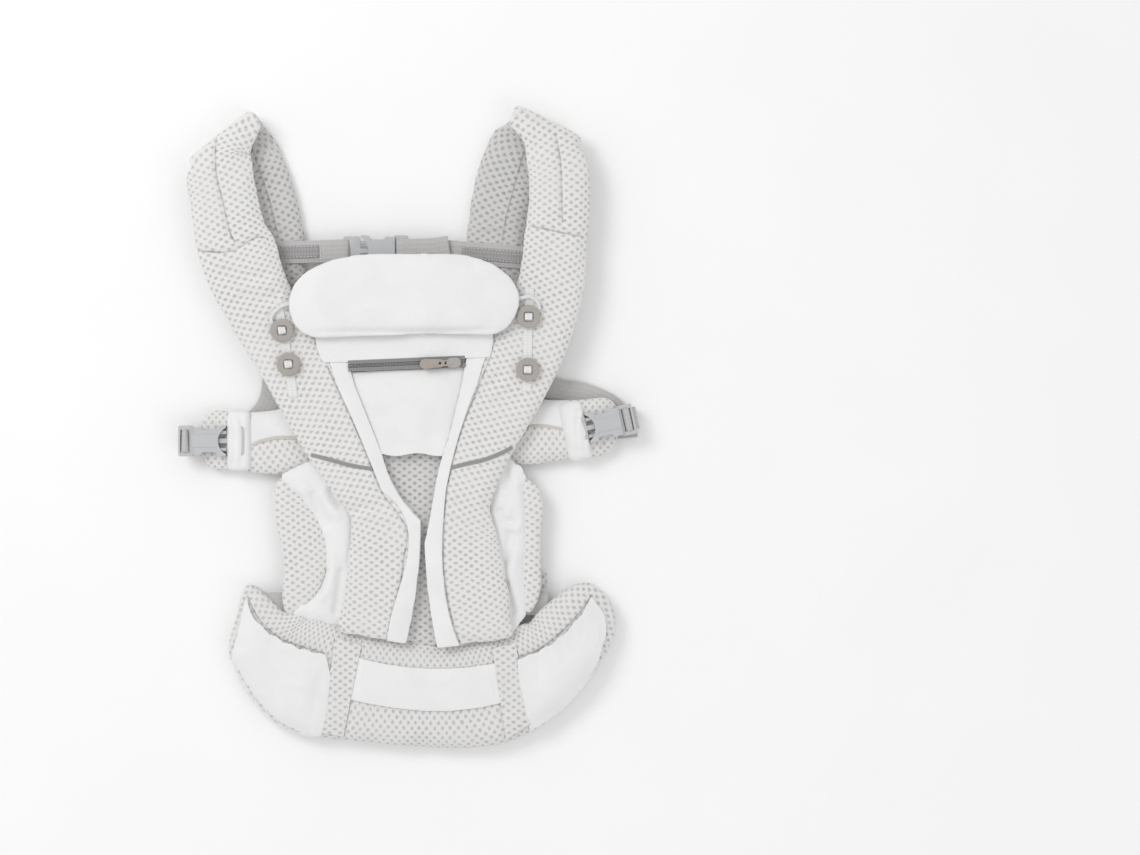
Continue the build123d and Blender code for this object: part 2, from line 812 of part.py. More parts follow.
left_wing_edges = [
    graded([(-100, 36), (-140, 23), (-198, 18)]),
    graded([(-198, 18), (-222, 16), (-228, -12), (-220, -38), (-198, -42)]),
    graded([(-198, -42), (-174, -45), (-139, -48), (-100, -38)]),
    graded([(-100, -38), (-100, 36)]),
]
cloth("left_wing", left_wing_edges, wing_low, wing_top)
right_wing_edges = [
    graded([(100, 40), (150, 33), (203, 33)]),
    graded([(203, 33), (228, 28), (233, 6), (224, -20), (203, -28)]),
    graded([(203, -28), (177, -31), (135, -37), (100, -30)]),
    graded([(100, -30), (100, 40)]),
]
cloth("right_wing", right_wing_edges, wing_low, wing_top)

cuff_height = buckle_height / 2 + base_thickness / 2 + 2.0
cuff_length = 24.0
cuff_width = 56.0
cuff_start = arm_root + layer_gap
for label, seat in (("left_wing_cuff", left_seat), ("right_wing_cuff", right_seat)):
    with BuildPart() as cuff:
        with BuildSketch(seat.offset(wing_top - side_plane)):
            with Locations((-cuff_length / 2 - cuff_start, 0)):
                RectangleRounded(cuff_length, cuff_width, 2)
        extrude(amount=cuff_height)
        with BuildSketch(seat.offset(-base_thickness / 2)):
            with Locations((-base_length / 2 - moving_gap, 0)):
                Rectangle(base_length + moving_gap, shell_width)
        extrude(amount=base_thickness, mode=Mode.SUBTRACT)
    save(cuff, label)

with BuildPart() as wing_piping:
    for points in ([(-168, -15), (-146, -9), (-128, -9)], [(132, 5), (148, 5), (166, 2)]):
        with BuildSketch(Plane.XY.offset(wing_top)):
            with BuildLine():
                Polyline(*strip_outline(graded(points), piping_width), close=True)
            make_face()
        extrude(amount=piping_thickness)
save(wing_piping, "wing_piping")
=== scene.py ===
import math

import bmesh
import bpy
import numpy as np
from mathutils import Matrix, Vector
from mathutils.bvhtree import BVHTree


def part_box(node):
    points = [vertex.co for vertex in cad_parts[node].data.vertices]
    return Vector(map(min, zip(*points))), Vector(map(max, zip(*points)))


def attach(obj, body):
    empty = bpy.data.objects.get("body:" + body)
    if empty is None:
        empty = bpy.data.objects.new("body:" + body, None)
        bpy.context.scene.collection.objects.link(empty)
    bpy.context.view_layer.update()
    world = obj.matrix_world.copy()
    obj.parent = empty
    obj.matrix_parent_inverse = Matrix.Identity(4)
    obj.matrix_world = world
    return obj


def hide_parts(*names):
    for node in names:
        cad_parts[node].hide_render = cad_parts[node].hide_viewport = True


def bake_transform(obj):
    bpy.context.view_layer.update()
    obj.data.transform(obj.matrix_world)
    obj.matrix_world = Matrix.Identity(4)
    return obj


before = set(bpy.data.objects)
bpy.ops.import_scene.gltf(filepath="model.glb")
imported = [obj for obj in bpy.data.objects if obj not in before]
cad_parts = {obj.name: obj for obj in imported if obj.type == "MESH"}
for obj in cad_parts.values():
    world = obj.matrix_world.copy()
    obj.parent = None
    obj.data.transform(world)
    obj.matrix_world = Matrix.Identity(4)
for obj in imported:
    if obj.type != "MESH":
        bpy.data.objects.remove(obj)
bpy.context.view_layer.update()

scene = bpy.context.scene

# ---- The table, the light and the camera ----
# The carrier lies on its back on a plain white table. Large soft lamps on all sides leave only
# faint shading, a little stronger from the upper left. The camera hangs straight above.


def linear(code):
    """An sRGB hex colour as linear red, green, blue and alpha."""
    shares = [int(code[i:i + 2], 16) / 255 for i in (1, 3, 5)]
    return (*[s / 12.92 if s <= 0.04045 else ((s + 0.055) / 1.055) ** 2.4 for s in shares], 1.0)


def add_node(tree, kind, inputs=None, **settings):
    """A shader node with its settings, values and links. A node given as a value links its first output."""
    made = tree.nodes.new("ShaderNode" + kind)
    for key, value in settings.items():
        setattr(made, key, value)
    for key, value in (inputs or {}).items():
        if isinstance(value, bpy.types.Node):
            value = value.outputs[0]
        if isinstance(value, bpy.types.NodeSocket):
            tree.links.new(value, made.inputs[key])
        else:
            made.inputs[key].default_value = value
    return made


def start_material(name, **constants):
    """An empty material whose shader carries the values that are even all over."""
    made = bpy.data.materials.new(name)
    made.use_nodes = True
    shader = made.node_tree.nodes["Principled BSDF"]
    for key, value in constants.items():
        shader.inputs[key.replace("_", " ")].default_value = value
    return made, made.node_tree


def finish_material(made, colour, bump=None):
    """Links a material's colour and relief to its shader."""
    shader = made.node_tree.nodes["Principled BSDF"]
    made.node_tree.links.new(colour.outputs[0], shader.inputs["Base Color"])
    if bump:
        made.node_tree.links.new(bump.outputs[0], shader.inputs["Normal"])
    return made


# Matt laminate: a smooth near-white top with a very faint mottle.
laminate, tree = start_material("matt_laminate", Roughness=0.7)
place = add_node(tree, "TexCoord")
mottle = add_node(tree, "TexNoise", {"Vector": place.outputs["Object"], "Scale": 6.0})
tint = add_node(tree, "ValToRGB", {"Fac": mottle})
tint.color_ramp.elements[0].color = linear("#FAFAFA")
tint.color_ramp.elements[1].color = linear("#FEFEFE")
finish_material(laminate, tint)

table = bmesh.new()
bmesh.ops.create_grid(table, x_segments=8, y_segments=8, size=3.0)
mesh = bpy.data.meshes.new("table_top")
table.to_mesh(mesh)
table.free()
table_top = bpy.data.objects.new("table_top", mesh)
table_top.location.z = -0.0006
table_top.data.materials.append(laminate)
scene.collection.objects.link(table_top)

world = bpy.data.worlds.new("soft_room")
world.use_nodes = True
world.node_tree.nodes["Background"].inputs["Color"].default_value = (1, 1, 1, 1)
world.node_tree.nodes["Background"].inputs["Strength"].default_value = 0.72
scene.world = world
for name, spot, size, power in (
    ("key_lamp", (-1.5, 1.2, 2.3), 1.3, 26.0),
    ("fill_lamp", (1.7, -1.4, 2.4), 2.0, 9.0),
):
    lamp = bpy.data.lights.new(name, "AREA")
    lamp.size = size
    lamp.energy = power
    held = bpy.data.objects.new(name, lamp)
    held.location = spot
    held.rotation_mode = "QUATERNION"
    held.rotation_quaternion = (-Vector(spot)).to_track_quat("-Z", "Y")
    scene.collection.objects.link(held)

camera_height = 3.2
cloth_height = 0.03
seen_width = 1.254
camera = bpy.data.cameras.new("camera")
camera.sensor_width = 36.0
camera.lens = camera.sensor_width * (camera_height - cloth_height) / seen_width
hung = bpy.data.objects.new("camera", camera)
hung.location = (0.1793, 0.00275, camera_height)
scene.collection.objects.link(hung)
scene.camera = hung
scene.view_settings.view_transform = "Standard"

# ---- Waist belt ----
# A curved foam pad, 28 mm thick, wrapped in knitted spacer mesh whose pits run in staggered rows.
# The cover is pulled tight round the foam, so that the pad's edges are round and its face is full.


def spacer_mesh(name, ground, pit, contrast):
    """Warp-knitted polyester spacer: matt, with small oval pits 11.6 mm apart in rows 4 mm apart."""
    made, tree = start_material(name, Roughness=0.82, Sheen_Weight=0.25, Sheen_Roughness=0.6)
    across, along = 0.0116, 0.0081
    pit_floor, pit_rim = 0.0003, 0.0036
    uneven = 0.0022
    lay = add_node(tree, "UVMap", uv_map="lay")
    drawn = lay
    for scale in (60.0, 420.0):
        drift = add_node(tree, "TexNoise", {"Vector": lay, "Scale": scale, "Detail": 1.0})
        drift = add_node(tree, "VectorMath", {0: drift.outputs["Color"], "Scale": uneven}, operation="SCALE")
        drawn = add_node(tree, "VectorMath", {0: drawn, 1: drift}, operation="ADD")
    far = []
    for half in (0.0, 0.5):
        row = drawn
        for step, by in (
            ("MULTIPLY", (1 / across, 1 / along, 0)), ("ADD", (half, half, 0)), ("FRACTION", (0, 0, 0)),
            ("SUBTRACT", (0.5, 0.5, 0)), ("MULTIPLY", (across, along * 1.5, 0)),
        ):
            row = add_node(tree, "VectorMath", {0: row, 1: by}, operation=step)
        far.append(add_node(tree, "VectorMath", {0: row}, operation="LENGTH").outputs["Value"])
    near = add_node(tree, "Math", {0: far[0], 1: far[1]}, operation="MINIMUM")
    hollow = add_node(tree, "MapRange", {"Value": near, "From Min": pit_floor, "From Max": pit_rim,
                                         "To Min": 1.0, "To Max": 0.0}, interpolation_type="SMOOTHSTEP")
    # The knit yarn is 0.3 mm, drawn at 1.3 mm so that it shows.
    yarn = add_node(tree, "TexNoise", {"Vector": lay, "Scale": 780.0, "Detail": 2.0})
    patch = add_node(tree, "TexNoise", {"Vector": lay, "Scale": 16.0, "Detail": 2.0})
    patch = add_node(tree, "MapRange", {"Value": patch, "From Min": 0.3, "From Max": 0.7,
                                        "To Min": contrast * 0.55, "To Max": contrast})
    shown = add_node(tree, "Math", {0: hollow, 1: patch}, operation="MULTIPLY")
    knit = add_node(tree, "MixRGB", {"Fac": yarn, "Color1": linear(ground[0]), "Color2": linear(ground[1])})
    colour = add_node(tree, "MixRGB", {"Fac": shown, "Color1": knit, "Color2": linear(pit)})
    # Painted shade: along each of the piece's seam maps a thin uneven dark line, with a soft shade on both sides,
    # stands in for the shade in a sewn seam's groove and in the gap under a cloth edge.
    seam_shade_core, seam_shade = 0.0002, 0.0016
    seam_shade_patchiness = add_node(tree, "TexNoise", {"Vector": lay, "Scale": 110.0, "Detail": 2.0})
    seam_shade_patchiness = add_node(tree, "MapRange", {"Value": seam_shade_patchiness, "From Min": 0.38, "From Max": 0.62, "To Min": 0.25,
                                       "To Max": 0.85})
    for seam in ("shade_line_a", "shade_line_b", "shade_line_c", "shade_line_d"):
        sewn = add_node(tree, "UVMap", uv_map=seam)
        sewn = add_node(tree, "SeparateXYZ", {"Vector": sewn})
        off = add_node(tree, "Math", {0: sewn.outputs["X"]}, operation="ABSOLUTE")
        dark = add_node(tree, "MapRange", {"Value": off, "From Min": seam_shade_core, "From Max": seam_shade,
                                           "To Min": 1.0, "To Max": 0.0})
        within = add_node(tree, "Math", {0: sewn.outputs["Y"], 1: 0.5, 2: 0.499}, operation="COMPARE")
        dark = add_node(tree, "Math", {0: dark, 1: within}, operation="MULTIPLY")
        dark = add_node(tree, "Math", {0: dark, 1: seam_shade_patchiness}, operation="MULTIPLY")
        colour = add_node(tree, "MixRGB", {"Fac": dark, "Color1": colour, "Color2": linear("#8C8B8A")})
    relief = add_node(tree, "Math", {0: hollow, 1: -1.0}, operation="MULTIPLY")
    relief = add_node(tree, "Math", {0: yarn, 1: 0.35, 2: relief}, operation="MULTIPLY_ADD")
    bump = add_node(tree, "Bump", {"Height": relief, "Strength": 0.8, "Distance": 0.0009})
    return finish_material(made, colour, bump)


belt_mesh = spacer_mesh("spacer_mesh_belt", ("#DEDDDC", "#E9E8E7"), "#A6A5A5", 0.8)


def bake(piece):
    """Applies a piece's modifiers to its mesh."""
    ready = piece.evaluated_get(bpy.context.evaluated_depsgraph_get())
    fixed = bpy.data.meshes.new_from_object(ready)
    piece.modifiers.clear()
    piece.data = fixed


def points_of(piece):
    """A mesh's points as rows of X, Y and Z."""
    row = np.empty(len(piece.data.vertices) * 3)
    piece.data.vertices.foreach_get("co", row)
    return row.reshape(-1, 3)


def normals_of(piece):
    """The way out of the mesh at each point, as rows of X, Y and Z."""
    row = np.empty(len(piece.data.vertices) * 3)
    piece.data.vertices.foreach_get("normal", row)
    return row.reshape(-1, 3)


def move_to(piece, points):
    """Moves a mesh's points to the given rows of X, Y and Z."""
    piece.data.vertices.foreach_set("co", np.ascontiguousarray(points, dtype=np.float64).ravel())
    piece.data.update()


def as_piece(name, form):
    """A finished bmesh becomes a piece with smooth faces."""
    made = bpy.data.meshes.new(name)
    form.to_mesh(made)
    form.free()
    piece = bpy.data.objects.new(name, made)
    scene.collection.objects.link(piece)
    piece.data.shade_smooth()
    return piece


def soften(piece, times, sideways=False):
    """Evens out a piece, or a sheet's height alone, as cloth that bridges small steps."""
    form = bmesh.new()
    form.from_mesh(piece.data)
    for _ in range(times):
        bmesh.ops.smooth_vert(form, verts=form.verts, factor=0.5, use_axis_x=sideways, use_axis_y=sideways,
                              use_axis_z=True)
    form.to_mesh(piece.data)
    form.free()


def foam_form(name, nodes, grain, trim, swell, lowest=0.0, highest=1.0, reshape=None, hull=False, spread=0.003):
    """Cloth over foam: the pieces as one closed form, trimmed in and blown up until the cover is tight."""
    # The foam holds its outline, so that the cover moves mostly up and down.
    flat_way = np.array([0.25, 0.25, 1.0])
    pressure, last_step = 4.0, 20
    form = bmesh.new()
    for node in nodes:
        form.from_mesh(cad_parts[node].data)
    bmesh.ops.remove_doubles(form, verts=form.verts, dist=1e-6)
    if reshape:
        for v in form.verts:
            v.co = reshape(v.co)
    if hull:
        wrapped = bmesh.ops.convex_hull(form, input=form.verts)
        bmesh.ops.delete(form, geom=[g for g in {*wrapped["geom_interior"], *wrapped["geom_unused"]} if g.is_valid
                                     and isinstance(g, bmesh.types.BMVert)], context="VERTS")
        kept = {*wrapped["geom"]}
        bmesh.ops.delete(form, geom=[f for f in form.faces if f not in kept], context="FACES")
        bmesh.ops.recalc_face_normals(form, faces=form.faces)
    piece = as_piece(name, form)
    remesh = piece.modifiers.new("remesh", "REMESH")
    remesh.mode = "VOXEL"
    remesh.voxel_size = grain
    bake(piece)
    soften(piece, 3, sideways=True)
    start = points_of(piece) - normals_of(piece) * trim * flat_way
    move_to(piece, start)
    cloth = piece.modifiers.new("cloth", "CLOTH")
    cloth.settings.use_pressure = True
    cloth.settings.uniform_pressure_force = pressure
    cloth.settings.effector_weights.gravity = 0.0
    cloth.point_cache.frame_start = 1
    cloth.point_cache.frame_end = last_step
    for step in range(1, last_step + 1):
        scene.frame_set(step)
    bake(piece)
    scene.frame_set(1)
    moved = (points_of(piece) - start) * flat_way
    length = np.linalg.norm(moved, axis=1, keepdims=True)
    held = swell * (1 - np.exp(-length / swell))
    start = start + moved * held / np.maximum(length, 1e-9)
    move_to(piece, start)
    move_to(piece, start + normals_of(piece) * spread * np.array([1, 1, 0]))
    finer = piece.modifiers.new("finer", "SUBSURF")
    finer.levels = finer.render_levels = 1
    bake(piece)
    points = points_of(piece)
    points[:, 2] = np.clip(points[:, 2], lowest, highest)
    move_to(piece, points)
    piece.data.shade_smooth()
    return piece


def flow(line, step=0.004):
    """Points close together on a smooth line through the given ones, which are in millimetres."""
    line = np.array([(*p, 0.0)[:3] if len(p) == 2 else p for p in line], float) / 1000
    padded = np.vstack([2 * line[0] - line[1], line, 2 * line[-1] - line[-2]])
    run = []
    for a, b, c, d in zip(padded, padded[1:], padded[2:], padded[3:]):
        count = max(2, int(np.linalg.norm(c - b) / step))
        for t in np.arange(count) / count:
            run.append(0.5 * (2 * b + (c - a) * t + (2 * a - 5 * b + 4 * c - d) * t ** 2
                              + (3 * b - a - 3 * c + d) * t ** 3))
    return np.array([*run, line[-1]])


def off_line(points, line):
    """How far each point lies to the left of a line seen from above, and how far along it, as a share."""
    starts, ends = line[:-1, :2], line[1:, :2]
    span = ends - starts
    size = np.maximum((span ** 2).sum(1), 1e-12)
    share = np.clip(((points[:, None, :2] - starts) * span).sum(2) / size, 0, 1)
    off = points[:, None, :2] - (starts + share[..., None] * span)
    gap = np.linalg.norm(off, axis=2)
    nearest = gap.argmin(1)
    row = np.arange(len(points))
    off = off[row, nearest]
    left = np.where(span[nearest, 0] * off[:, 1] < span[nearest, 1] * off[:, 0], -1, 1)
    return left * gap[row, nearest], (nearest + share[row, nearest]) / len(starts)


def press(piece, line, depth, width, from_above=True):
    """Presses a seam, fold or channel into a piece along a line. Sizes are millimetres."""
    points = points_of(piece)
    gap, share = off_line(points, flow(line))
    fade = np.clip(np.minimum(share, 1 - share) * 8 + 0.25, 0, 1)
    push = depth / 1000 * np.exp(-(gap / (width / 1000)) ** 2) * fade
    if from_above:
        push = push * np.clip(normals_of(piece)[:, 2] * 2, 0, 1)
    points[:, 2] -= push
    move_to(piece, points)


def set_map(piece, name, across, along):
    """Writes a UV map from one value across and one along for each point."""
    corner = np.empty(len(piece.data.loops), int)
    piece.data.loops.foreach_get("vertex_index", corner)
    laid = piece.data.uv_layers.get(name) or piece.data.uv_layers.new(name=name)
    laid.data.foreach_set("uv", np.column_stack([across, along])[corner].ravel())


def paint_shade_line(piece, seam, line, above=0.0, below=1.0):
    """Marks where the material paints a thin line of shade, along a sewn seam or a cloth edge on the upper side of
    a piece. Sizes are millimetres.
    """
    points = points_of(piece)
    gap, share = off_line(points, flow(line))
    share[(normals_of(piece)[:, 2] < 0.1) | (points[:, 2] < above) | (points[:, 2] > below)] = 0
    set_map(piece, seam, gap, share)


def lay_pattern(piece, line, side=(1, 0, 0), turning=False):
    """Gives a piece its cloth's lay: a UV map in metres, across and along a line, folded over its edges."""
    run = flow(line, 0.003)
    way = np.gradient(run, axis=0)
    way /= np.linalg.norm(way, axis=1, keepdims=True)
    far = np.concatenate([[0], np.cumsum(np.linalg.norm(np.diff(run, axis=0), axis=1))])
    across = np.empty_like(way)
    held = np.array(side, float)
    for i, step in enumerate(way):
        across[i] = held - step * held.dot(step)
        across[i] /= np.linalg.norm(across[i])
        held = across[i] if turning else held
    out = np.cross(across, way)
    points = points_of(piece)
    deep = run[:, 2].any()
    near = np.empty(len(points), int)
    for start in range(0, len(points), 4000):
        block = points[start:start + 4000]
        gap = (block[:, None] - run) * ((1, 1, 3) if deep else (1, 1, 0))
        near[start:start + 4000] = (gap ** 2).sum(2).argmin(1)
    gap = points - run[near]
    if not deep:
        gap[:, 2] -= (points[:, 2].max() + points[:, 2].min()) / 2
    u = (gap * across[near]).sum(1)
    v = (gap * way[near]).sum(1) + far[near]
    lift = np.abs((gap * out[near]).sum(1))
    outer = np.clip(np.abs(u) / np.percentile(np.abs(u), 90) * 2 - 1, 0, 1)
    u += np.sign(u) * outer * np.maximum(np.percentile(lift, 80) - lift, 0)
    set_map(piece, "lay", u, v)


def fit(piece, material, body, slot, *nodes):
    """Gives a piece its finish and fixes it to the body that it moves with."""
    piece.data.materials.clear()
    piece.data.materials.append(material)
    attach(piece, body)
    if nodes:
        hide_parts(*nodes)
    return piece


def run_under(spot):
    """The belt's upper edge runs a little way up under the legs."""
    return Vector((spot.x, spot.y + 0.009, spot.z * 0.96)) if spot.y > -0.2405 and abs(spot.x) < 0.13 else spot


belt = foam_form("waist_belt", ["waist_belt_pad"], 0.005, 0.003, 0.005, highest=0.0305, reshape=run_under,
                 spread=0.004)
for line in (
    [(-79, -226), (-84, -280), (-94, -336)], [(-52, -228), (-60, -280), (-71, -339)],
    [(93, -240), (100, -290), (109, -345)], [(120, -240), (130, -290), (140, -332)],
):
    press(belt, line, 1.2, 2.2)
lay_pattern(belt, [(-195, -200), (-150, -258), (-80, -287), (10, -297), (90, -291), (162, -258), (215, -200)],
            (0, 1, 0))
# Painted shadow: a thin dark line on the belt just above each hip pocket's open top, standing in for the shaded gap
# under the pocket's edge.
paint_shade_line(belt, "shade_line_a", [(-176, -183), (-168, -200), (-155, -217), (-136, -231), (-116, -238), (-90, -246)])
paint_shade_line(belt, "shade_line_b", [(124, -249), (142, -243), (158, -232), (172, -220), (188, -203), (204, -182)])
fit(belt, belt_mesh, "root", "spacer_mesh", "waist_belt_pad")

# ---- Belt strips, centre band and hip pockets ----
# Two upright strips of the mesh are sewn over the belt, with a smooth brushed band between them.
# A flat hip pocket of the same smooth cloth lies on each end, gathered a little along its open top.


def smooth_cloth(name, light, shade, folds):
    """Brushed polyester twill: matt and white, with soft wrinkles and a fine slanting rib."""
    made, tree = start_material(name, Roughness=0.74, Sheen_Weight=0.3, Sheen_Roughness=0.5)
    lay = add_node(tree, "TexCoord")
    # Twill ribs are 0.5 mm apart, drawn at 1.4 mm so that they show.
    turned = add_node(tree, "Mapping", {"Vector": lay.outputs["Object"], "Rotation": (0, 0, 0.9)})
    rib = add_node(tree, "TexWave", {"Vector": turned, "Scale": 112.0, "Distortion": 1.5, "Detail": 1.0})
    crumple = add_node(tree, "TexNoise", {"Vector": lay.outputs["Object"], "Scale": 26.0, "Detail": 3.0,
                                          "Roughness": 0.45, "Distortion": 0.6})
    # Painted shade: the colour is darker where the wrinkle relief is low.
    painted_wrinkle_shade = add_node(tree, "MapRange", {"Value": crumple, "From Min": 0.3, "From Max": 0.7})
    colour = add_node(tree, "MixRGB", {"Fac": painted_wrinkle_shade, "Color1": linear(shade), "Color2": linear(light)})
    fine = add_node(tree, "Bump", {"Height": rib.outputs["Fac"], "Strength": 0.25, "Distance": 0.0002})
    soft = add_node(tree, "Bump", {"Height": crumple, "Strength": 1.0, "Distance": folds, "Normal": fine})
    return finish_material(made, colour, soft)


white_cloth = smooth_cloth("brushed_twill", "#EFEFEF", "#EAEAEA", 0.0022)


def cut_cloth(name, node, grow, grid=0.004):
    """A flat piece of cloth with a CAD piece's outline and a hem allowance, cut into a fine grid."""
    cut = bmesh.new()
    cut.from_mesh(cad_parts[node].data)
    bmesh.ops.remove_doubles(cut, verts=cut.verts, dist=1e-6)
    top = max(v.co.z for v in cut.verts)
    lower = [f for f in cut.faces if f.calc_center_median().z < top - 1e-5]
    bmesh.ops.delete(cut, geom=lower, context="FACES")
    bmesh.ops.dissolve_limit(cut, angle_limit=0.01, verts=cut.verts, edges=cut.edges)
    for axis in (0, 1):
        across = [v.co[axis] for v in cut.verts]
        for line in range(math.ceil(min(across) / grid), math.floor(max(across) / grid) + 1):
            spot = Vector((0, 0, 0))
            spot[axis] = line * grid
            way = Vector((0, 0, 0))
            way[axis] = 1
            bmesh.ops.bisect_plane(cut, geom=cut.verts[:] + cut.edges[:] + cut.faces[:], dist=1e-6, plane_co=spot,
                                   plane_no=way)
    bmesh.ops.triangulate(cut, faces=[f for f in cut.faces if len(f.verts) > 4])
    middle = sum((v.co for v in cut.verts), Vector()) / len(cut.verts)
    for v in cut.verts:
        v.co.x = middle.x + (v.co.x - middle.x) * grow[0]
        v.co.y = middle.y + (v.co.y - middle.y) * grow[1]
    return as_piece(name, cut)


def ground_under(points, below):
    """The height of the highest of the pieces below each point, or the table's."""
    graph = bpy.context.evaluated_depsgraph_get()
    trees = [BVHTree.FromObject(o, graph) for o in below]
    height = np.zeros(len(points))
    for i, (x, y, _) in enumerate(points):
        for tree in trees:
            hit = tree.ray_cast(Vector((x, y, 0.2)), Vector((0, 0, -1)))[0]
            if hit is not None:
                height[i] = max(height[i], hit.z)
    return height


def rim_gap(piece):
    """How far each point lies from the piece's cut edge."""
    form = bmesh.new()
    form.from_mesh(piece.data)
    rim = np.array([v.co[:2] for v in form.verts if v.is_boundary])
    form.free()
    points = points_of(piece)[:, :2]
    return np.array([np.sqrt(((rim - p) ** 2).sum(1).min()) for p in points])


def soften_edges(piece, width, sharpest=0.7):
    """Rounds a moulded, cast or cut edge."""
    round_edge = piece.modifiers.new("round_edge", "BEVEL")
    round_edge.width = width
    round_edge.segments = 2
    round_edge.limit_method = "ANGLE"
    round_edge.angle_limit = sharpest


def thicken(piece, thickness, offset, rounding):
    """Gives a sheet its thickness and rounds its cut edge."""
    wall = piece.modifiers.new("wall", "SOLIDIFY")
    wall.thickness = thickness
    wall.offset = offset
    soften_edges(piece, thickness * rounding, sharpest=0.9)


def laid_cloth(name, node, below, gap, crown, edge, free=None, thickness=0.0014, grow=(1, 1), lowest=None,
               reshape=None, material=white_cloth, slot="smooth_cloth"):
    """Cloth cut to a CAD piece's outline and laid over what is under it, a little fuller in its middle."""
    piece = cut_cloth(name, node, grow)
    points = points_of(piece)
    if reshape:
        points[:, :2] = reshape(points)
        move_to(piece, points)
    piece["cut_area"] = sum(face.area for face in piece.data.polygons)
    inward = rim_gap(piece)
    rise = 1 - np.exp(-inward / edge)
    if free is not None:
        gap_free, _ = off_line(points, flow(free))
        rise = np.maximum(rise, np.exp(-(gap_free / 0.012) ** 2))
    if lowest is None:
        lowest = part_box(node)[0].z - 0.002 if below else 0.0
    under = np.maximum(ground_under(points, below), lowest)
    points[:, 2] = under + gap + crown * rise
    move_to(piece, points)
    soften(piece, 4)
    points[:, 2] = np.maximum(points_of(piece)[:, 2], under + gap * 0.6)
    move_to(piece, points)
    soften(piece, 2)
    thicken(piece, thickness, offset=1.0, rounding=0.35)
    return fit(piece, material, "root", slot, node)


def declare_sheet(piece):
    """Reads a piece's points and does nothing more with them."""
    points = points_of(piece)


def stitches(name, lines, below, slot, material, thread=0.55):
    """Rows of lockstitches, each a short thread bead lying on the cloth. Sizes are millimetres."""
    sewn, skip = 2.6, 1.4
    rows = bmesh.new()
    for line in lines:
        run = flow(line, 0.002)
        far = np.concatenate([[0], np.cumsum(np.linalg.norm(np.diff(run, axis=0), axis=1))])
        marks = np.arange(0.002, far[-1] - 0.002, (sewn + skip) / 1000)
        spots = np.column_stack([np.interp(marks, far, run[:, k]) for k in range(3)])
        ahead = np.column_stack([np.interp(marks + 0.001, far, run[:, k]) for k in range(3)])
        if below:
            spots[:, 2] = ground_under(spots, below)
        for spot, front in zip(spots, ahead):
            angle = math.atan2(front[1] - spot[1], front[0] - spot[0])
            place = (Matrix.Translation(spot) @ Matrix.Rotation(angle, 4, "Z")
                     @ Matrix.Diagonal((sewn / 2000, thread / 2000, thread / 2400, 1)))
            bmesh.ops.create_uvsphere(rows, u_segments=6, v_segments=4, radius=1.0, matrix=place)
    fit(as_piece(name, rows), material, "root", slot)


band = laid_cloth("centre_band", "belt_centre_band", [belt], 0.0006, 0.0022, 0.006, grow=(1.09, 1.0))
strips = laid_cloth("belt_strips", "belt_mesh_strips", [belt, band], 0.0003, 0.0008, 0.004, material=belt_mesh,
                    slot="spacer_mesh")
lay_pattern(strips, [(10, -230), (10, -340)])
declare_sheet(strips)
declare_sheet(band)


def pulled_round(points):
    """A hip pocket's lower half is pulled round the belt's edge, while its open top stays where it is cut."""
    middle = points[:, :2].mean(0)
    low = np.clip((-0.240 - points[:, 1]) / 0.03, 0, 1)[:, None]
    moved = middle + (points[:, :2] - middle) * (1 + 0.14 * low)
    moved[:, 1] += 0.0011 * np.sin(moved[:, 0] / 0.0026) * (1 - low[:, 0])
    return moved


left_pocket = laid_cloth("left_hip_pocket_cloth", "left_hip_pocket", [belt], 0.0005, 0.0042, 0.012,
                         [(-170, -198), (-156, -220), (-117, -241), (-98, -247)], lowest=0.006,
                         reshape=pulled_round)
press(left_pocket, [(-93, -262), (-98, -285), (-106, -322)], 1.6, 4.0)
press(left_pocket, [(-120, -248), (-112, -275), (-114, -310)], -1.6, 7.0)
press(left_pocket, [(-150, -232), (-152, -262), (-140, -300)], 1.2, 9.0)
declare_sheet(left_pocket)
right_pocket = laid_cloth("right_hip_pocket_cloth", "right_hip_pocket", [belt], 0.0005, 0.0042, 0.012,
                          [(130, -250), (160, -234), (196, -193)], lowest=0.006, reshape=pulled_round)
for x, y in ((140, -243), (153, -237), (166, -228), (178, -215), (189, -202)):
    press(right_pocket, [(x, y), (x + 4, y - 14), (x + 5, y - 30)], 1.3, 2.6)
press(right_pocket, [(127, -256), (134, -290), (141, -318)], 1.5, 4.0)
press(right_pocket, [(160, -244), (166, -268), (160, -298)], -1.5, 8.0)
declare_sheet(right_pocket)

# Spun polyester thread: white, slightly glossy, in short lockstitches.
white_thread, tree = start_material("polyester_thread", Roughness=0.45, Sheen_Weight=0.2)
place = add_node(tree, "TexCoord")
twist = add_node(tree, "TexWave", {"Vector": place.outputs["Object"], "Scale": 300.0})
tint = add_node(tree, "MixRGB", {"Fac": twist.outputs["Fac"], "Color1": linear("#E2E2E2"),
                                 "Color2": linear("#F6F6F6")})
finish_material(white_thread, tint)
stitches(
    "belt_stitches",
    [
        [(-46, -253), (-53, -291)], [(90, -258), (96, -296)],
        [(-76, -252), (-91, -328)], [(-64, -252), (-75, -330)],
        [(106, -256), (112, -334)], [(118, -256), (131, -320)],
        [(-171, -197), (-153, -223), (-117, -244), (-97, -251)],
        [(129, -254), (161, -237), (199, -193)],
    ],
    [belt, strips, band, left_pocket, right_pocket], "smooth_cloth", white_thread)

# ---- Waist strap behind the body ----
# A thin mesh lumbar pad, and 25 mm polypropylene webbing from each end of the belt to a
# side-release buckle, which closes behind the wearer.


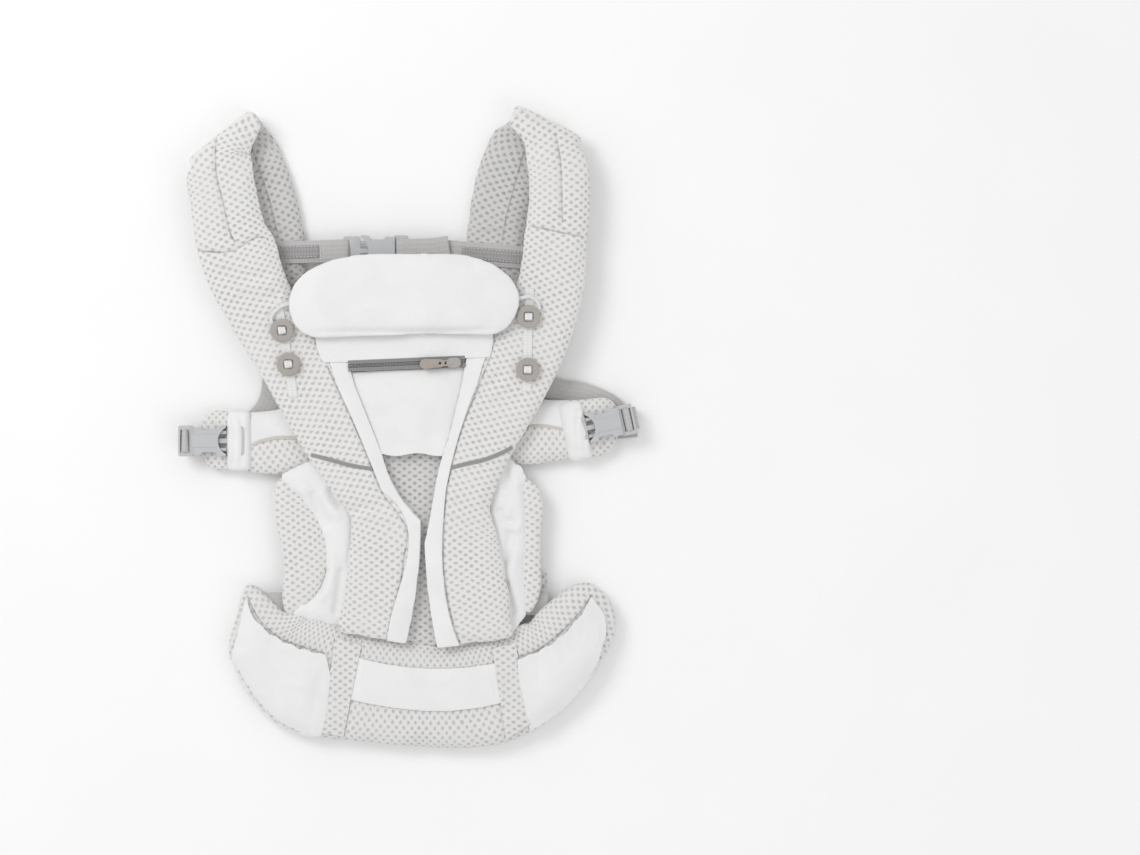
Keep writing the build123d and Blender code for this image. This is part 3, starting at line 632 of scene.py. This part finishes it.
def webbing_finish(name, light, dark):
    """Woven polypropylene webbing: a tight herringbone with a low sheen and thicker edges."""
    made, tree = start_material(name, Roughness=0.6, Sheen_Weight=0.15)
    lay = add_node(tree, "UVMap", uv_map="lay")
    # Picks are 1 mm apart, drawn at 1.6 mm so that they show.
    picks = add_node(tree, "TexWave", {"Vector": lay, "Scale": 98.0, "Distortion": 0.6}, bands_direction="Y")
    ends = add_node(tree, "TexWave", {"Vector": lay, "Scale": 62.0}, bands_direction="X")
    weave = add_node(tree, "Math", {0: picks.outputs["Fac"], 1: ends.outputs["Fac"]}, operation="MULTIPLY")
    colour = add_node(tree, "MixRGB", {"Fac": weave, "Color1": linear(dark), "Color2": linear(light)})
    bump = add_node(tree, "Bump", {"Height": weave, "Strength": 0.7, "Distance": 0.0004})
    return finish_material(made, colour, bump)


grey_webbing = webbing_finish("polypropylene_webbing", "#C8C7C5", "#BCBBB9")


def ribbon(name, line, width=25, thickness=1.6, material=grey_webbing, slot="webbing", body="root", side=(0, 1, 0),
           ends=None, nodes=(), step=0.003):
    """Flat webbing: its edge is extruded from point to point along a smooth line. Sizes are millimetres."""
    run = flow(line, step)
    way = np.gradient(run, axis=0)
    way /= np.linalg.norm(way, axis=1, keepdims=True)
    held = np.array(side, float)
    shares = np.linspace(-0.5, 0.5, 5) * width / 1000
    strap = bmesh.new()
    row, edges = [], []
    for spot, step_way in zip(run, way):
        held = held - step_way * held.dot(step_way)
        held /= np.linalg.norm(held)
        if not row:
            row = [strap.verts.new(spot + held * s) for s in shares]
            edges = [strap.edges.new(pair) for pair in zip(row, row[1:])]
            continue
        grown = bmesh.ops.extrude_edge_only(strap, edges=edges)["geom"]
        fresh = [g for g in grown if isinstance(g, bmesh.types.BMVert)]
        paired = []
        for old in row:
            new = min(fresh, key=lambda v: (v.co - old.co).length)
            fresh.remove(new)
            paired.append(new)
        for new, s in zip(paired, shares):
            new.co = spot + held * s
        row = paired
        edges = [strap.edges.get(pair) for pair in zip(row, row[1:])]
    piece = as_piece(name, strap)
    lay_pattern(piece, line, side, turning=True)
    thicken(piece, thickness / 1000, offset=0.0, rounding=0.4)
    if ends:
        piece.data.materials.append(material)
        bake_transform(piece)
        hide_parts(*nodes)
        return piece
    return fit(piece, material, body, slot, *nodes)


panel_mesh = spacer_mesh("spacer_mesh_panel", ("#D4D3D2", "#E0DFDE"), "#8E8D8D", 0.9)
lumbar = foam_form("lumbar_cushion", ["lumbar_pad"], 0.004, 0.0015, 0.0025, highest=0.0084)
lay_pattern(lumbar, [(-140, -183), (10, -183), (160, -183)], (0, 1, 0))
fit(lumbar, panel_mesh, "root", "spacer_mesh", "lumbar_pad")

ribbon(
    "waist_strap_left",
    [(-160, -192, 13.9), (-90, -192, 13.9), (-50, -192, 14.6), (-38, -192, 16.3), (-36.7, -192, 14),
     (-38.5, -192, 11.4), (-50, -192, 11.2), (-66, -192, 11.6)],
    nodes=["waist_webbing_left"])
ribbon(
    "waist_strap_right",
    [(155, -192, 13.9), (60, -192, 13.9), (42, -192, 11.0), (27, -192, 10.6), (25.2, -192, 13.9),
     (22.0, -192, 17.2), (18.6, -192, 14.2), (17.0, -192, 10.6)],
    side=(0, -1, 0), nodes=["waist_webbing_right"],
    ends=("root", "waist_buckle_socket", (0.085, -0.192, 0.0139), (0.030, -0.192, 0.0139)))


def moulded_acetal(name, light, dark, rough):
    """Injection moulded plastic: satin, with a faint flow mottle and a fine grain."""
    made, tree = start_material(name, Roughness=rough, IOR=1.48)
    place = add_node(tree, "TexCoord")
    flow_mark = add_node(tree, "TexNoise", {"Vector": place.outputs["Object"], "Scale": 45.0, "Detail": 2.0})
    grain = add_node(tree, "TexNoise", {"Vector": place.outputs["Object"], "Scale": 900.0, "Detail": 1.0})
    colour = add_node(tree, "MixRGB", {"Fac": flow_mark, "Color1": linear(dark), "Color2": linear(light)})
    bump = add_node(tree, "Bump", {"Height": grain, "Strength": 0.25, "Distance": 0.0003})
    return finish_material(made, colour, bump)


def finish_casting(node, material, width):
    """Gives a moulded or cast CAD piece its finish and its rounded edges."""
    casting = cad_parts[node]
    casting.data.materials.clear()
    casting.data.materials.append(material)
    soften_edges(casting, width)


buckle_acetal = moulded_acetal("moulded_acetal_grey", "#C6C8CA", "#BBBDBF", 0.38)
for buckle in ("waist_buckle", "chest_buckle", "left_side_buckle", "right_side_buckle"):
    for half in ("male", "female", "arm_a", "arm_b"):
        finish_casting(f"{buckle}_{half}", buckle_acetal, 0.0005)

# ---- Back panel ----
# One layer of the spacer mesh carries everything. It shows under the pocket and between the
# straps, where it is folded over on itself.

panel = foam_form("back_panel_mesh", ["back_panel"], 0.004, 0.0015, 0.002, highest=0.0275)
lay_pattern(panel, [(5, 170), (5, 0), (5, -240)])
fit(panel, panel_mesh, "root", "spacer_mesh", "back_panel")

# ---- Side gussets ----
# Smooth twill folds in beside each strap, softly creased, and a lobe of spacer mesh is let in
# along its outer edge with a curved seam.

strap_mesh = spacer_mesh("spacer_mesh_strap", ("#E1E0DE", "#EBEAE8"), "#A3A2A1", 0.78)
for hand, lobe, folds, hollows in (
    (
        "left",
        [(-138, -50), (-141, -90), (-136, -160), (-133, -205)],
        [[(-128, -58), (-108, -84), (-88, -120)], [(-120, -64), (-96, -74), (-72, -100)],
         [(-98, -190), (-86, -160), (-82, -130)], [(-120, -200), (-100, -184), (-84, -176)]],
        [[(-84, -62), (-80, -74), (-72, -84)], [(-80, -206), (-76, -182), (-72, -150)],
         [(-104, -66), (-96, -90), (-86, -108)], [(-112, -196), (-96, -172), (-88, -150)]],
    ),
    (
        "right",
        [(134, -58), (140, -100), (138, -160), (133, -198)],
        [[(114, -56), (124, -76), (126, -110)], [(104, -90), (112, -104), (124, -112)],
         [(108, -190), (116, -160), (118, -130)]],
        [[(108, -40), (110, -52), (112, -66)], [(100, -86), (106, -98), (118, -102)],
         [(108, -164), (112, -184), (118, -206)], [(106, -150), (112, -130), (114, -110)]],
    ),
):
    def tucked(spot):
        """The lining's top slopes up behind the strap, in front of the wing."""
        if spot.y < -0.0545:
            return spot
        outer = abs(spot.x) > 0.12
        rise = (0.004 if outer else 0.040) if hand == "left" else (0.007 if outer else 0.044)
        push = 0.006 if outer and hand == "right" else 0.0
        return Vector((spot.x + push, spot.y + rise, max(spot.z, 0.0215)))
    lining = foam_form(f"{hand}_gusset_cloth", [f"{hand}_gusset_lining"], 0.004, 0.0015, 0.003, highest=0.030,
                       reshape=tucked)
    for line in folds:
        press(lining, line, -2.0, 6.0)
    for line in hollows:
        press(lining, line, 4.5, 5.0)
    fit(lining, white_cloth, "root", "smooth_cloth", f"{hand}_gusset_lining")
    crescent = foam_form(f"{hand}_gusset_lobe", [f"{hand}_gusset_mesh"], 0.0035, 0.001, 0.003)
    lay_pattern(crescent, lobe)
    fit(crescent, strap_mesh, "root", "spacer_mesh", f"{hand}_gusset_mesh")

# ---- Shoulder straps and panel legs ----
# Each strap is one long foam pad in spacer mesh. Below the cross seam it runs on as the panel leg
# down to the belt, and at its top it folds back and runs down behind.

# The inner side of the strap, which its rear leg shows, is a greyer knit, made darker still with painted shade: the
# shade that falls on the rear leg beside the front leg is painted into its colours.
lining_mesh_with_painted_shade = spacer_mesh("spacer_mesh_lining_painted_shade", ("#CBCAC9", "#D6D5D4"), "#858484", 0.9)
leg_under, leg_top, pad_top = 0.028, 0.039, 0.014
between_legs = 0.020
sewn_end = (0.190, 0.2235)
strap_parts = {}
for hand, path, seam, cross, bound, creases, notch, filled, rear_seam in (
    (
        "left",
        [(-40, -232, 33), (-36, -150, 33), (-46, -90, 33), (-90, 0, 33), (-150, 100, 33), (-190, 190, 33),
         (-205, 270, 33), (-212, 300, 33), (-208, 318, 30), (-203, 326, 20), (-200, 316, 10), (-180, 290, 7),
         (-160, 240, 7), (-148, 160, 7)],
        [(-210, 322), (-209, 283), (-202, 253), (-194, 218), (-188, 206)],
        [(-229, 197), (-205, 195), (-187, 198), (-166, 211), (-152, 210)],
        [(-87, 70), (-74, 41), (-58, 7), (-42, -32), (-28, -67), (-11, -90), (1, -112), (-3, -140), (-7, -168),
         (-22, -231)],
        [[(-68, -92), (-44, -84), (-20, -88)], [(-205, 178), (-178, 168), (-148, 172)],
         [(-184, 150), (-160, 142), (-138, 150)]],
        (-0.2289, 0.2821), (-0.2400, 0.2840), [(-172, 312), (-163, 285), (-152, 250), (-143, 212)],
    ),
    (
        "right",
        [(72, -236, 33), (62, -150, 33), (66, -90, 33), (100, 0, 33), (140, 100, 33), (160, 190, 33),
         (166, 270, 33), (162, 305, 33), (160, 322, 30), (158, 332, 20), (152, 322, 10), (128, 290, 7),
         (108, 240, 7), (95, 160, 7)],
        [(164, 325), (169, 293), (170, 266), (171, 228)],
        [(135, 224), (150, 221), (177, 215), (194, 212)],
        [(91, 78), (76, 40), (61, 2), (51, -34), (44, -67), (41, -103), (40, -130), (41, -158), (48, -200),
         (59, -236)],
        [[(47, -78), (70, -91), (93, -111)], [(46, -96), (66, -106), (82, -124)], [(104, 60), (84, 44), (70, 40)]],
        (0.1837, 0.3038), (0.1950, 0.3050), [(131, 317), (120, 277), (109, 236), (104, 205)],
    ),
):
    def joined(spot):
        """The leg's top end runs on into the pad, so that the two are one form."""
        if (spot.xy - Vector(notch)).length < 0.001:
            return Vector((*filled, spot.z))
        leg_face = min(abs(spot.z - leg_under), abs(spot.z - leg_top)) < 0.0002
        leg_end = leg_face and sewn_end[0] < spot.y < sewn_end[1]
        drawn_up = 0.012 if leg_end else 0.004 * min(max((spot.y - 0.31) / 0.03, 0), 1)
        return Vector((spot.x, spot.y + drawn_up, spot.z))
    strap = foam_form(f"{hand}_strap", [f"{hand}_shoulder_pad", f"{hand}_panel_leg"], 0.0042, 0.0022, 0.0036,
                      highest=0.043, reshape=joined)
    points = points_of(strap)
    # The chest strap lies on the rear legs, and the toggles lie on the panel legs.
    chest_zone = (points[:, 2] < between_legs) & (points[:, 1] < 0.222) & (points[:, 1] > 0.17)
    points[chest_zone, 2] = np.minimum(points[chest_zone, 2], pad_top + 0.0002)
    leg_zone = (points[:, 2] > between_legs) & (points[:, 1] < sewn_end[0])
    points[leg_zone, 2] = np.minimum(points[leg_zone, 2], leg_top + 0.0012)
    move_to(strap, points)
    press(strap, seam, 2.6, 3.0)
    press(strap, cross, 2.0, 2.8)
    press(strap, bound, 1.2, 3.0)
    for line in creases:
        press(strap, line, 2.2, 5.0)
        press(strap, [(x + 5, y - 10) for x, y in line], -1.4, 5.0)
    lay_pattern(strap, path)
    # Painted shade along the pressed seams on the strap's upper faces and along the rear leg's seam.
    for name, line in (("shade_line_a", seam), ("shade_line_b", cross), ("shade_line_c", bound)):
        paint_shade_line(strap, name, line, above=0.022)
    paint_shade_line(strap, "shade_line_d", rear_seam, below=0.0205)
    fit(strap, strap_mesh, "root", "spacer_mesh", f"{hand}_shoulder_pad", f"{hand}_panel_leg")
    strap.data.materials.append(white_cloth)
    strap.data.materials.append(lining_mesh_with_painted_shade)
    for face in strap.data.polygons:
        if face.center.y < 0.19 and face.center.z > 0.022 and abs(face.normal.z) < 0.6:
            face.material_index = 1
        # The rear leg's upward faces take the lining knit with its painted shade.
        elif face.center.z < 0.0205 and face.normal.z > -0.3:
            face.material_index = 2
    strap_parts[hand] = strap
both_straps = list(strap_parts.values())

# ---- Pocket ----
# A smooth twill pocket hangs between the straps below the zip. It is sewn down at its sides, and
# its lower hem hangs free in small waves.

pocket = laid_cloth("pocket_cloth", "pocket_panel", [], 0.0345, 0.0040, 0.014, [(-24, -26), (5, -27), (36, -26)],
                    grow=(1.06, 1.0))
points = points_of(pocket)
points[:, 1] += 0.0016 * np.sin(points[:, 0] / 0.0075) * np.clip((-0.012 - points[:, 1]) / 0.012, 0, 1)
points[:, 2] += 0.0010 * np.sin(points[:, 0] / 0.0075 + 1) * np.clip((0.010 - points[:, 1]) / 0.03, 0, 1)
move_to(pocket, points)
press(pocket, [(-24, -17), (6, -18), (38, -17)], 0.9, 1.8)
press(pocket, [(-30, 40), (-12, 10), (-4, -14)], 1.0, 9.0)
press(pocket, [(44, 50), (32, 20), (26, -12)], 1.0, 8.0)
declare_sheet(pocket)

# ---- V bands and grey piping ----
# Smooth folded bands bind the inner edge of each leg and meet below the pocket. A grey piping line
# is let into each leg.


def run_up(points):
    """The bands' top ends run up under the yoke."""
    return points[:, :2] + [0, 0.008] * np.clip((points[:, 1:2] - 0.05) / 0.016, 0, 1)


edge_bands = []
for hand in ("left", "right"):
    edge_band = laid_cloth(f"{hand}_edge_band", f"{hand}_v_band", [strap_parts[hand], pocket], 0.0007, 0.0012,
                           0.004, thickness=0.0012, reshape=run_up)
    declare_sheet(edge_band)
    edge_bands.append(edge_band)

grey_piping = webbing_finish("woven_grey_piping", "#A9A9A9", "#8F8F8F")


def resting_line(line, below, gap):
    """A line in millimetres, lifted on to the pieces under it."""
    spots = np.array([(x, y, 0) for x, y in line], float) / 1000
    height = ground_under(spots, below)
    return [(x, y, h * 1000 + gap) for (x, y), h in zip(line, height)]


for hand, line in (
    ("left", [(-105, -27), (-90, -31), (-75, -35), (-60, -39), (-37, -43)]),
    ("right", [(47, -42), (66, -37), (84, -33), (100, -27), (116, -19)]),
):
    ribbon(f"{hand}_leg_piping", resting_line(line, both_straps, 0.4), 4.6, 1.4, grey_piping, "grey_piping",
           nodes=["leg_piping"])

# ---- Yoke and zip ----
# The yoke is a smooth cloth that joins the straps above the pocket, over the bands' ends. Below it
# the zip's two woven tapes carry a nylon coil, with a plated cast slider and pull.


def flared(points):
    """The yoke's lower corners run out over the straps, to where the V bands start."""
    down = np.clip((0.102 - points[:, 1]) / 0.027, 0, 1)
    return np.column_stack([points[:, 0] * (1.03 + 0.33 * down), points[:, 1] + 0.001 + 0.008 * (1 - down)])


yoke = laid_cloth("yoke_cloth", "yoke", [*both_straps, *edge_bands], 0.0004, 0.0008, 0.008, lowest=0.0385,
                  reshape=flared)
declare_sheet(yoke)

zip_left, zip_right = Vector((-0.0640, 0.0701, 0.039)), Vector((0.0645, 0.0756, 0.039))
zip_way = (zip_right - zip_left).normalized()
zip_up = Vector((-zip_way.y, zip_way.x, 0))


def mm(point):
    """A point in metres, given in millimetres."""
    return tuple(c * 1000 for c in point)


# Zip tape: grey woven polyester on both sides of the coil, over a darker guard tape.
tape_cloth = webbing_finish("woven_zip_tape", "#A3A3A3", "#858585")
guard_cloth = webbing_finish("woven_guard_tape", "#6E6E6E", "#5A5A5A")
for name, off, high, width, thickness, cloth in (
    ("guard", 0.0, 0.0004, 11.4, 0.6, guard_cloth),
    ("upper", 0.0041, 0.0014, 4.2, 0.8, tape_cloth),
    ("lower", -0.0041, 0.0014, 4.2, 0.8, tape_cloth),
):
    lift = zip_up * off + Vector((0, 0, high))
    ribbon(f"zip_tape_{name}", [mm(zip_left + lift), mm((zip_left + zip_right) / 2 + lift), mm(zip_right + lift)],
           width, thickness, cloth, "zip_tape_cloth", nodes=["zip_tape"])
# Nylon coil: two rows of small moulded turns that lock along the middle.
nylon_coil = moulded_acetal("moulded_nylon_coil", "#B4B4B4", "#9A9A9A", 0.35)
coil = bmesh.new()
turn_pitch = 0.0016
for count in range(int((zip_right - zip_left).length / turn_pitch)):
    for row in (1, -1):
        spot = zip_left + zip_way * (count + (0.5 if row > 0 else 0)) * turn_pitch + zip_up * row * 0.0008
        place = (Matrix.Translation((spot.x, spot.y, 0.0410))
                 @ Matrix.Rotation(math.atan2(zip_way.y, zip_way.x), 4, "Z")
                 @ Matrix.Diagonal((0.00052, 0.0010, 0.0007, 1)))
        bmesh.ops.create_uvsphere(coil, u_segments=8, v_segments=4, radius=1.0, matrix=place)
fit(as_piece("zip_coil", coil), nylon_coil, "root", "zip_tape_cloth")


def plated_zinc(name, dark, light, roughness):
    """Zinc casting, nickel plated: polished, with a fine cast ripple."""
    made, tree = start_material(name, Metallic=1.0, Roughness=roughness)
    place = add_node(tree, "TexCoord")
    ripple = add_node(tree, "TexNoise", {"Vector": place.outputs["Object"], "Scale": 160.0, "Detail": 2.0})
    tint = add_node(tree, "MixRGB", {"Fac": ripple, "Color1": linear(dark), "Color2": linear(light)})
    bump = add_node(tree, "Bump", {"Height": ripple, "Strength": 0.2, "Distance": 0.0003})
    return finish_material(made, tint, bump)


for name, finish in (
    ("zip_slider", plated_zinc("bright_nickel_plated_zinc", "#B9B6B2", "#D2D0CD", 0.16)),
    ("zip_pull", plated_zinc("champagne_nickel_plated_zinc", "#B5AB9F", "#CBC3B8", 0.26)),
):
    finish_casting(name, finish, 0.0004)

# ---- Toggles on their tapes ----
# A white ribbed tape is sewn down each strap. At two places it stands up in a bight through the
# square window of a round moulded toggle, which holds the headrest's loop.

toggle_acetal = moulded_acetal("moulded_acetal_taupe", "#B0ABA4", "#A29D97", 0.36)
rib_tape = webbing_finish("ribbed_white_tape", "#F0F0F0", "#E2E2E2")
for hand, line, rings in (
    ("left", [(-141, 142), (-137, 118), (-134, 100), (-129, 72), (-124, 36)], ((-136, 109), (-129, 72))),
    ("right", [(135, 155), (134, 124), (133, 96), (133, 66), (132, 42)], ((134, 124), (133, 66))),
):
    ribbon(f"{hand}_tape", resting_line(line, both_straps, 0.7), 10, 1.2, rib_tape, "smooth_cloth",
           side=(1, 0, 0), nodes=[f"{hand}_toggle_tape"])
    way = (np.array(line[-1], float) - np.array(line[0], float))
    way /= np.linalg.norm(way)
    for place, (x, y) in zip(("upper", "lower"), rings):
        ribbon(
            f"{hand}_{place}_bight",
            [(x - way[0] * 4.2, y - way[1] * 4.2, 40.5), (x - way[0] * 4.0, y - way[1] * 4.0, 44.6),
             (x - way[0] * 2.2, y - way[1] * 2.2, 46.6), (x + way[0] * 2.2, y + way[1] * 2.2, 46.6),
             (x + way[0] * 4.0, y + way[1] * 4.0, 44.6), (x + way[0] * 4.2, y + way[1] * 4.2, 40.5)],
            8.4, 1.0, rib_tape, "smooth_cloth", side=(1, 0, 0), step=0.0008)
        finish_casting(f"{hand}_{place}_toggle", toggle_acetal, 0.0005)

# ---- Headrest ----
# A stuffed oval of smooth twill, sewn along its lower edge. It folds down over the pocket, and a
# thin elastic loop at each end catches on the toggles.

headrest = foam_form("headrest_pad", ["headrest_cushion"], 0.0045, 0.0035, 0.0065, lowest=0.0414, highest=0.062)
press(headrest, [(-100, 107), (-50, 107.5), (0, 107.5), (50, 108), (98, 110)], 2.2, 2.6)
fit(headrest, white_cloth, "headrest", "smooth_cloth", "headrest_cushion")

elastic = webbing_finish("braided_elastic", "#F1F1F1", "#DDDDDD")
for hand, line in (
    ("left", [(-123, 138, 45), (-131, 138, 46), (-141, 133, 45.4), (-148, 124, 44.4), (-147, 116, 43.8)]),
    ("right", [(119, 144, 45), (127, 145, 46), (136, 146, 45.4), (144, 140, 44.6), (146, 132, 44)]),
):
    ribbon(f"{hand}_elastic", line, 3.6, 1.6, elastic, "elastic", body="headrest", nodes=[f"{hand}_headrest_loop"],
           step=0.0015)

# ---- Side wings ----
# A padded wing reaches out from each side of the body. Its upper half is smooth twill and the rest
# spacer mesh, with an ivory covered zip between. A gathered cuff holds the side buckle.

ivory = webbing_finish("ivory_covered_zip", "#DAD8CE", "#C9C7BD")
for hand, seat, axis, path, split, piping, cuff_folds in (
    ("left", Vector((-0.199, -0.012, 0)), Vector((-1, 0, 0)), [(-230, -12), (-160, -12), (-100, 0)],
     [(-175, -17), (-162, -13), (-143, -9), (-100, -9)],
     [(-171, -17, 20.6), (-162, -12.5, 20.8), (-143, -8.5, 20.8), (-121, -9, 20.6)],
     [[(-193, 17), (-190, -12), (-192, -42)], [(-184, 17), (-181, -10), (-184, -42)]]),
    ("right", Vector((0.198, 0.002, 0)), Vector((math.cos(math.radians(12)), math.sin(math.radians(12)), 0)),
     [(235, 5), (160, 4), (100, 4)],
     [(180, -2), (161, 2), (148, 4), (100, 4)],
     [(133, 4, 20.6), (148, 5, 20.8), (161, 3, 20.8), (176, 0, 20.6)],
     [[(189, 30), (187, 0), (189, -28)], [(196, 31), (194, 0), (196, -29)]]),
):
    wing = foam_form(f"{hand}_wing_pad", [f"{hand}_wing"], 0.0045, 0.002, 0.0035, lowest=0.0055, highest=0.0212)
    press(wing, split, 1.2, 2.0)
    lay_pattern(wing, path, (0, 1, 0))
    fit(wing, strap_mesh, "root", "spacer_mesh", f"{hand}_wing")
    wing.data.materials.append(white_cloth)
    line = flow(split)
    order = line[:, 0].argsort()
    for face in wing.data.polygons:
        x, y, _ = face.center
        if abs(x) < 0.176 and y > np.interp(x, line[order, 0], line[order, 1]):
            face.material_index = 1
    ribbon(f"{hand}_wing_zip", piping, 3.6, 1.4, ivory, "ivory_piping", nodes=["wing_piping"])

    def wrapped(spot):
        """The cuff goes right round the wing, high over the buckle's base and low at its own two ends."""
        off = spot - seat
        along, across = off.dot(axis), off.dot(axis.cross(Vector((0, 0, 1))))
        along += 0.0032 if along > -0.012 else 0.0042
        if abs(across) < 0.018:
            height = 0.0302
        else:
            across *= 1.12
            height = 0.0240 if spot.z > 0.0205 else 0.0045
        return seat + axis * along + axis.cross(Vector((0, 0, 1))) * across + Vector((0, 0, height))
    cuff = foam_form(f"{hand}_cuff", [f"{hand}_wing_cuff"], 0.0032, 0.0005, 0.0012, lowest=0.004, highest=0.0305,
                     reshape=wrapped, hull=True, spread=0.002)
    for fold in cuff_folds:
        press(cuff, fold, 1.6, 3.2)
    fit(cuff, white_cloth, "root", "smooth_cloth", f"{hand}_wing_cuff")

# ---- Shoulder webbing ----
# From the lower end of each rear strap 25 mm webbing runs behind the wing, comes up round its end
# and passes through the ladder lock of the side buckle.

ribbon(
    "left_shoulder_strap",
    [(-147, 152, 5), (-150, 100, 4), (-151, 40, 4), (-170, 10, 4), (-205, -6, 4), (-236, -11, 5), (-249, -12.4, 9),
     (-251.5, -12.4, 15), (-247, -12.3, 20.3), (-242.5, -12.2, 22.3), (-241.2, -12, 25.9), (-243, -12, 29.2),
     (-246.4, -12, 29.2), (-248.1, -12, 25.9), (-249.5, -12, 22.6)],
    side=(1, 0, 0), step=0.002, nodes=["left_shoulder_webbing"],
    ends=("root", "left_side_buckle_socket", (-0.205, -0.006, 0.01), (-0.2415, -0.012, 0.022)))
ribbon(
    "right_shoulder_strap",
    [(95, 152, 5), (96, 125, 4), (126, 76, 4), (160, 46, 4), (196, 39, 4), (222, 28, 4), (236, 13, 4), (241, -2, 4),
     (242, -9, 4)],
    side=(1, 0, 0), step=0.002, nodes=["right_shoulder_webbing"],
    ends=("root", "right_side_buckle_socket", (0.205, 0.012, 0.01), (0.2395, 0.012, 0.022)))
# The webbing's end is folded across under the lock, and comes up through its slots.
lock_line = [(30, 5.4), (44, 5.6), (53, 7.0), (56.4, 12), (55.4, 18.4), (51.0, 22.0), (49.1, 25.9), (48.0, 29.2),
             (44.2, 29.2), (42.2, 25.9), (41.4, 22.4)]
tilt = math.radians(12)
ribbon(
    "right_lock_webbing",
    [(198 + u * math.cos(tilt), 2 + u * math.sin(tilt), z) for u, z in lock_line],
    body="right_side_buckle_socket", side=(-math.sin(tilt), math.cos(tilt), 0),
    step=0.0015)

# ---- Chest strap ----
# Webbing runs across behind the front straps. On the left a darker tape is sewn along its middle,
# and on the right it is doubled over at the ladder lock, with a loose tail.

ribbon(
    "chest_strap_left",
    [(-152, 196, 15.4), (-120, 196.6, 15.8), (-90, 197.4, 16.6), (-72, 198, 18.0), (-66.6, 198, 17.6),
     (-65.0, 198, 15.4), (-66.6, 198, 13.2), (-76, 198, 12.8), (-98, 197.4, 13.2)],
    step=0.002, nodes=["chest_webbing_left"])
dark_tape = webbing_finish("woven_centre_tape", "#B5B1B3", "#9C989A")
ribbon("chest_centre_tape_left", [(-150, 196.0, 17.0), (-120, 196.6, 17.3), (-98, 197.2, 17.8)], 14, 0.9, dark_tape,
       "webbing")
ribbon(
    "chest_strap_right",
    [(133, 190, 15.4), (90, 193.4, 15.4), (50, 197, 15.4), (20, 198, 13.6), (0, 198, 12.4), (-3.6, 198, 15.4),
     (-5.6, 198, 18.6), (-8.0, 198, 18.8), (-9.8, 198, 15.6), (-10.6, 198, 12.4)],
    side=(0, -1, 0), step=0.002, nodes=["chest_webbing_right"],
    ends=("root", "chest_buckle_socket", (0.080, 0.198, 0.0154), (0.008, 0.198, 0.0154)))
ribbon(
    "chest_strap_slack",
    [(-12, 198, 20.9), (10, 198.6, 21.0), (28, 199.4, 20.8), (46, 202, 20.6)],
    body="chest_buckle_socket", nodes=["chest_webbing_slack"])
ribbon("chest_centre_tape_right", [(60, 196.0, 17.0), (90, 193.6, 17.0), (130, 190.4, 17.0)], 14, 0.9, dark_tape,
       "webbing")
stitches(
    "chest_stitches",
    [
        [(-148, 201.8, 17.8), (-120, 202.4, 18.2), (-99, 203, 18.6)],
        [(-148, 190.4, 17.8), (-120, 191, 18.2), (-99, 191.6, 18.6)],
        [(-100, 187, 17.5), (-100, 207, 17.5)], [(-96, 187, 17.6), (-96, 207, 17.6)],
        [(60, 201.6, 17.8), (90, 199.2, 17.8), (129, 196, 17.8)],
        [(60, 190.4, 17.8), (90, 188, 17.8), (129, 184.8, 17.8)],
    ],
    [], "webbing", white_thread, thread=0.8)
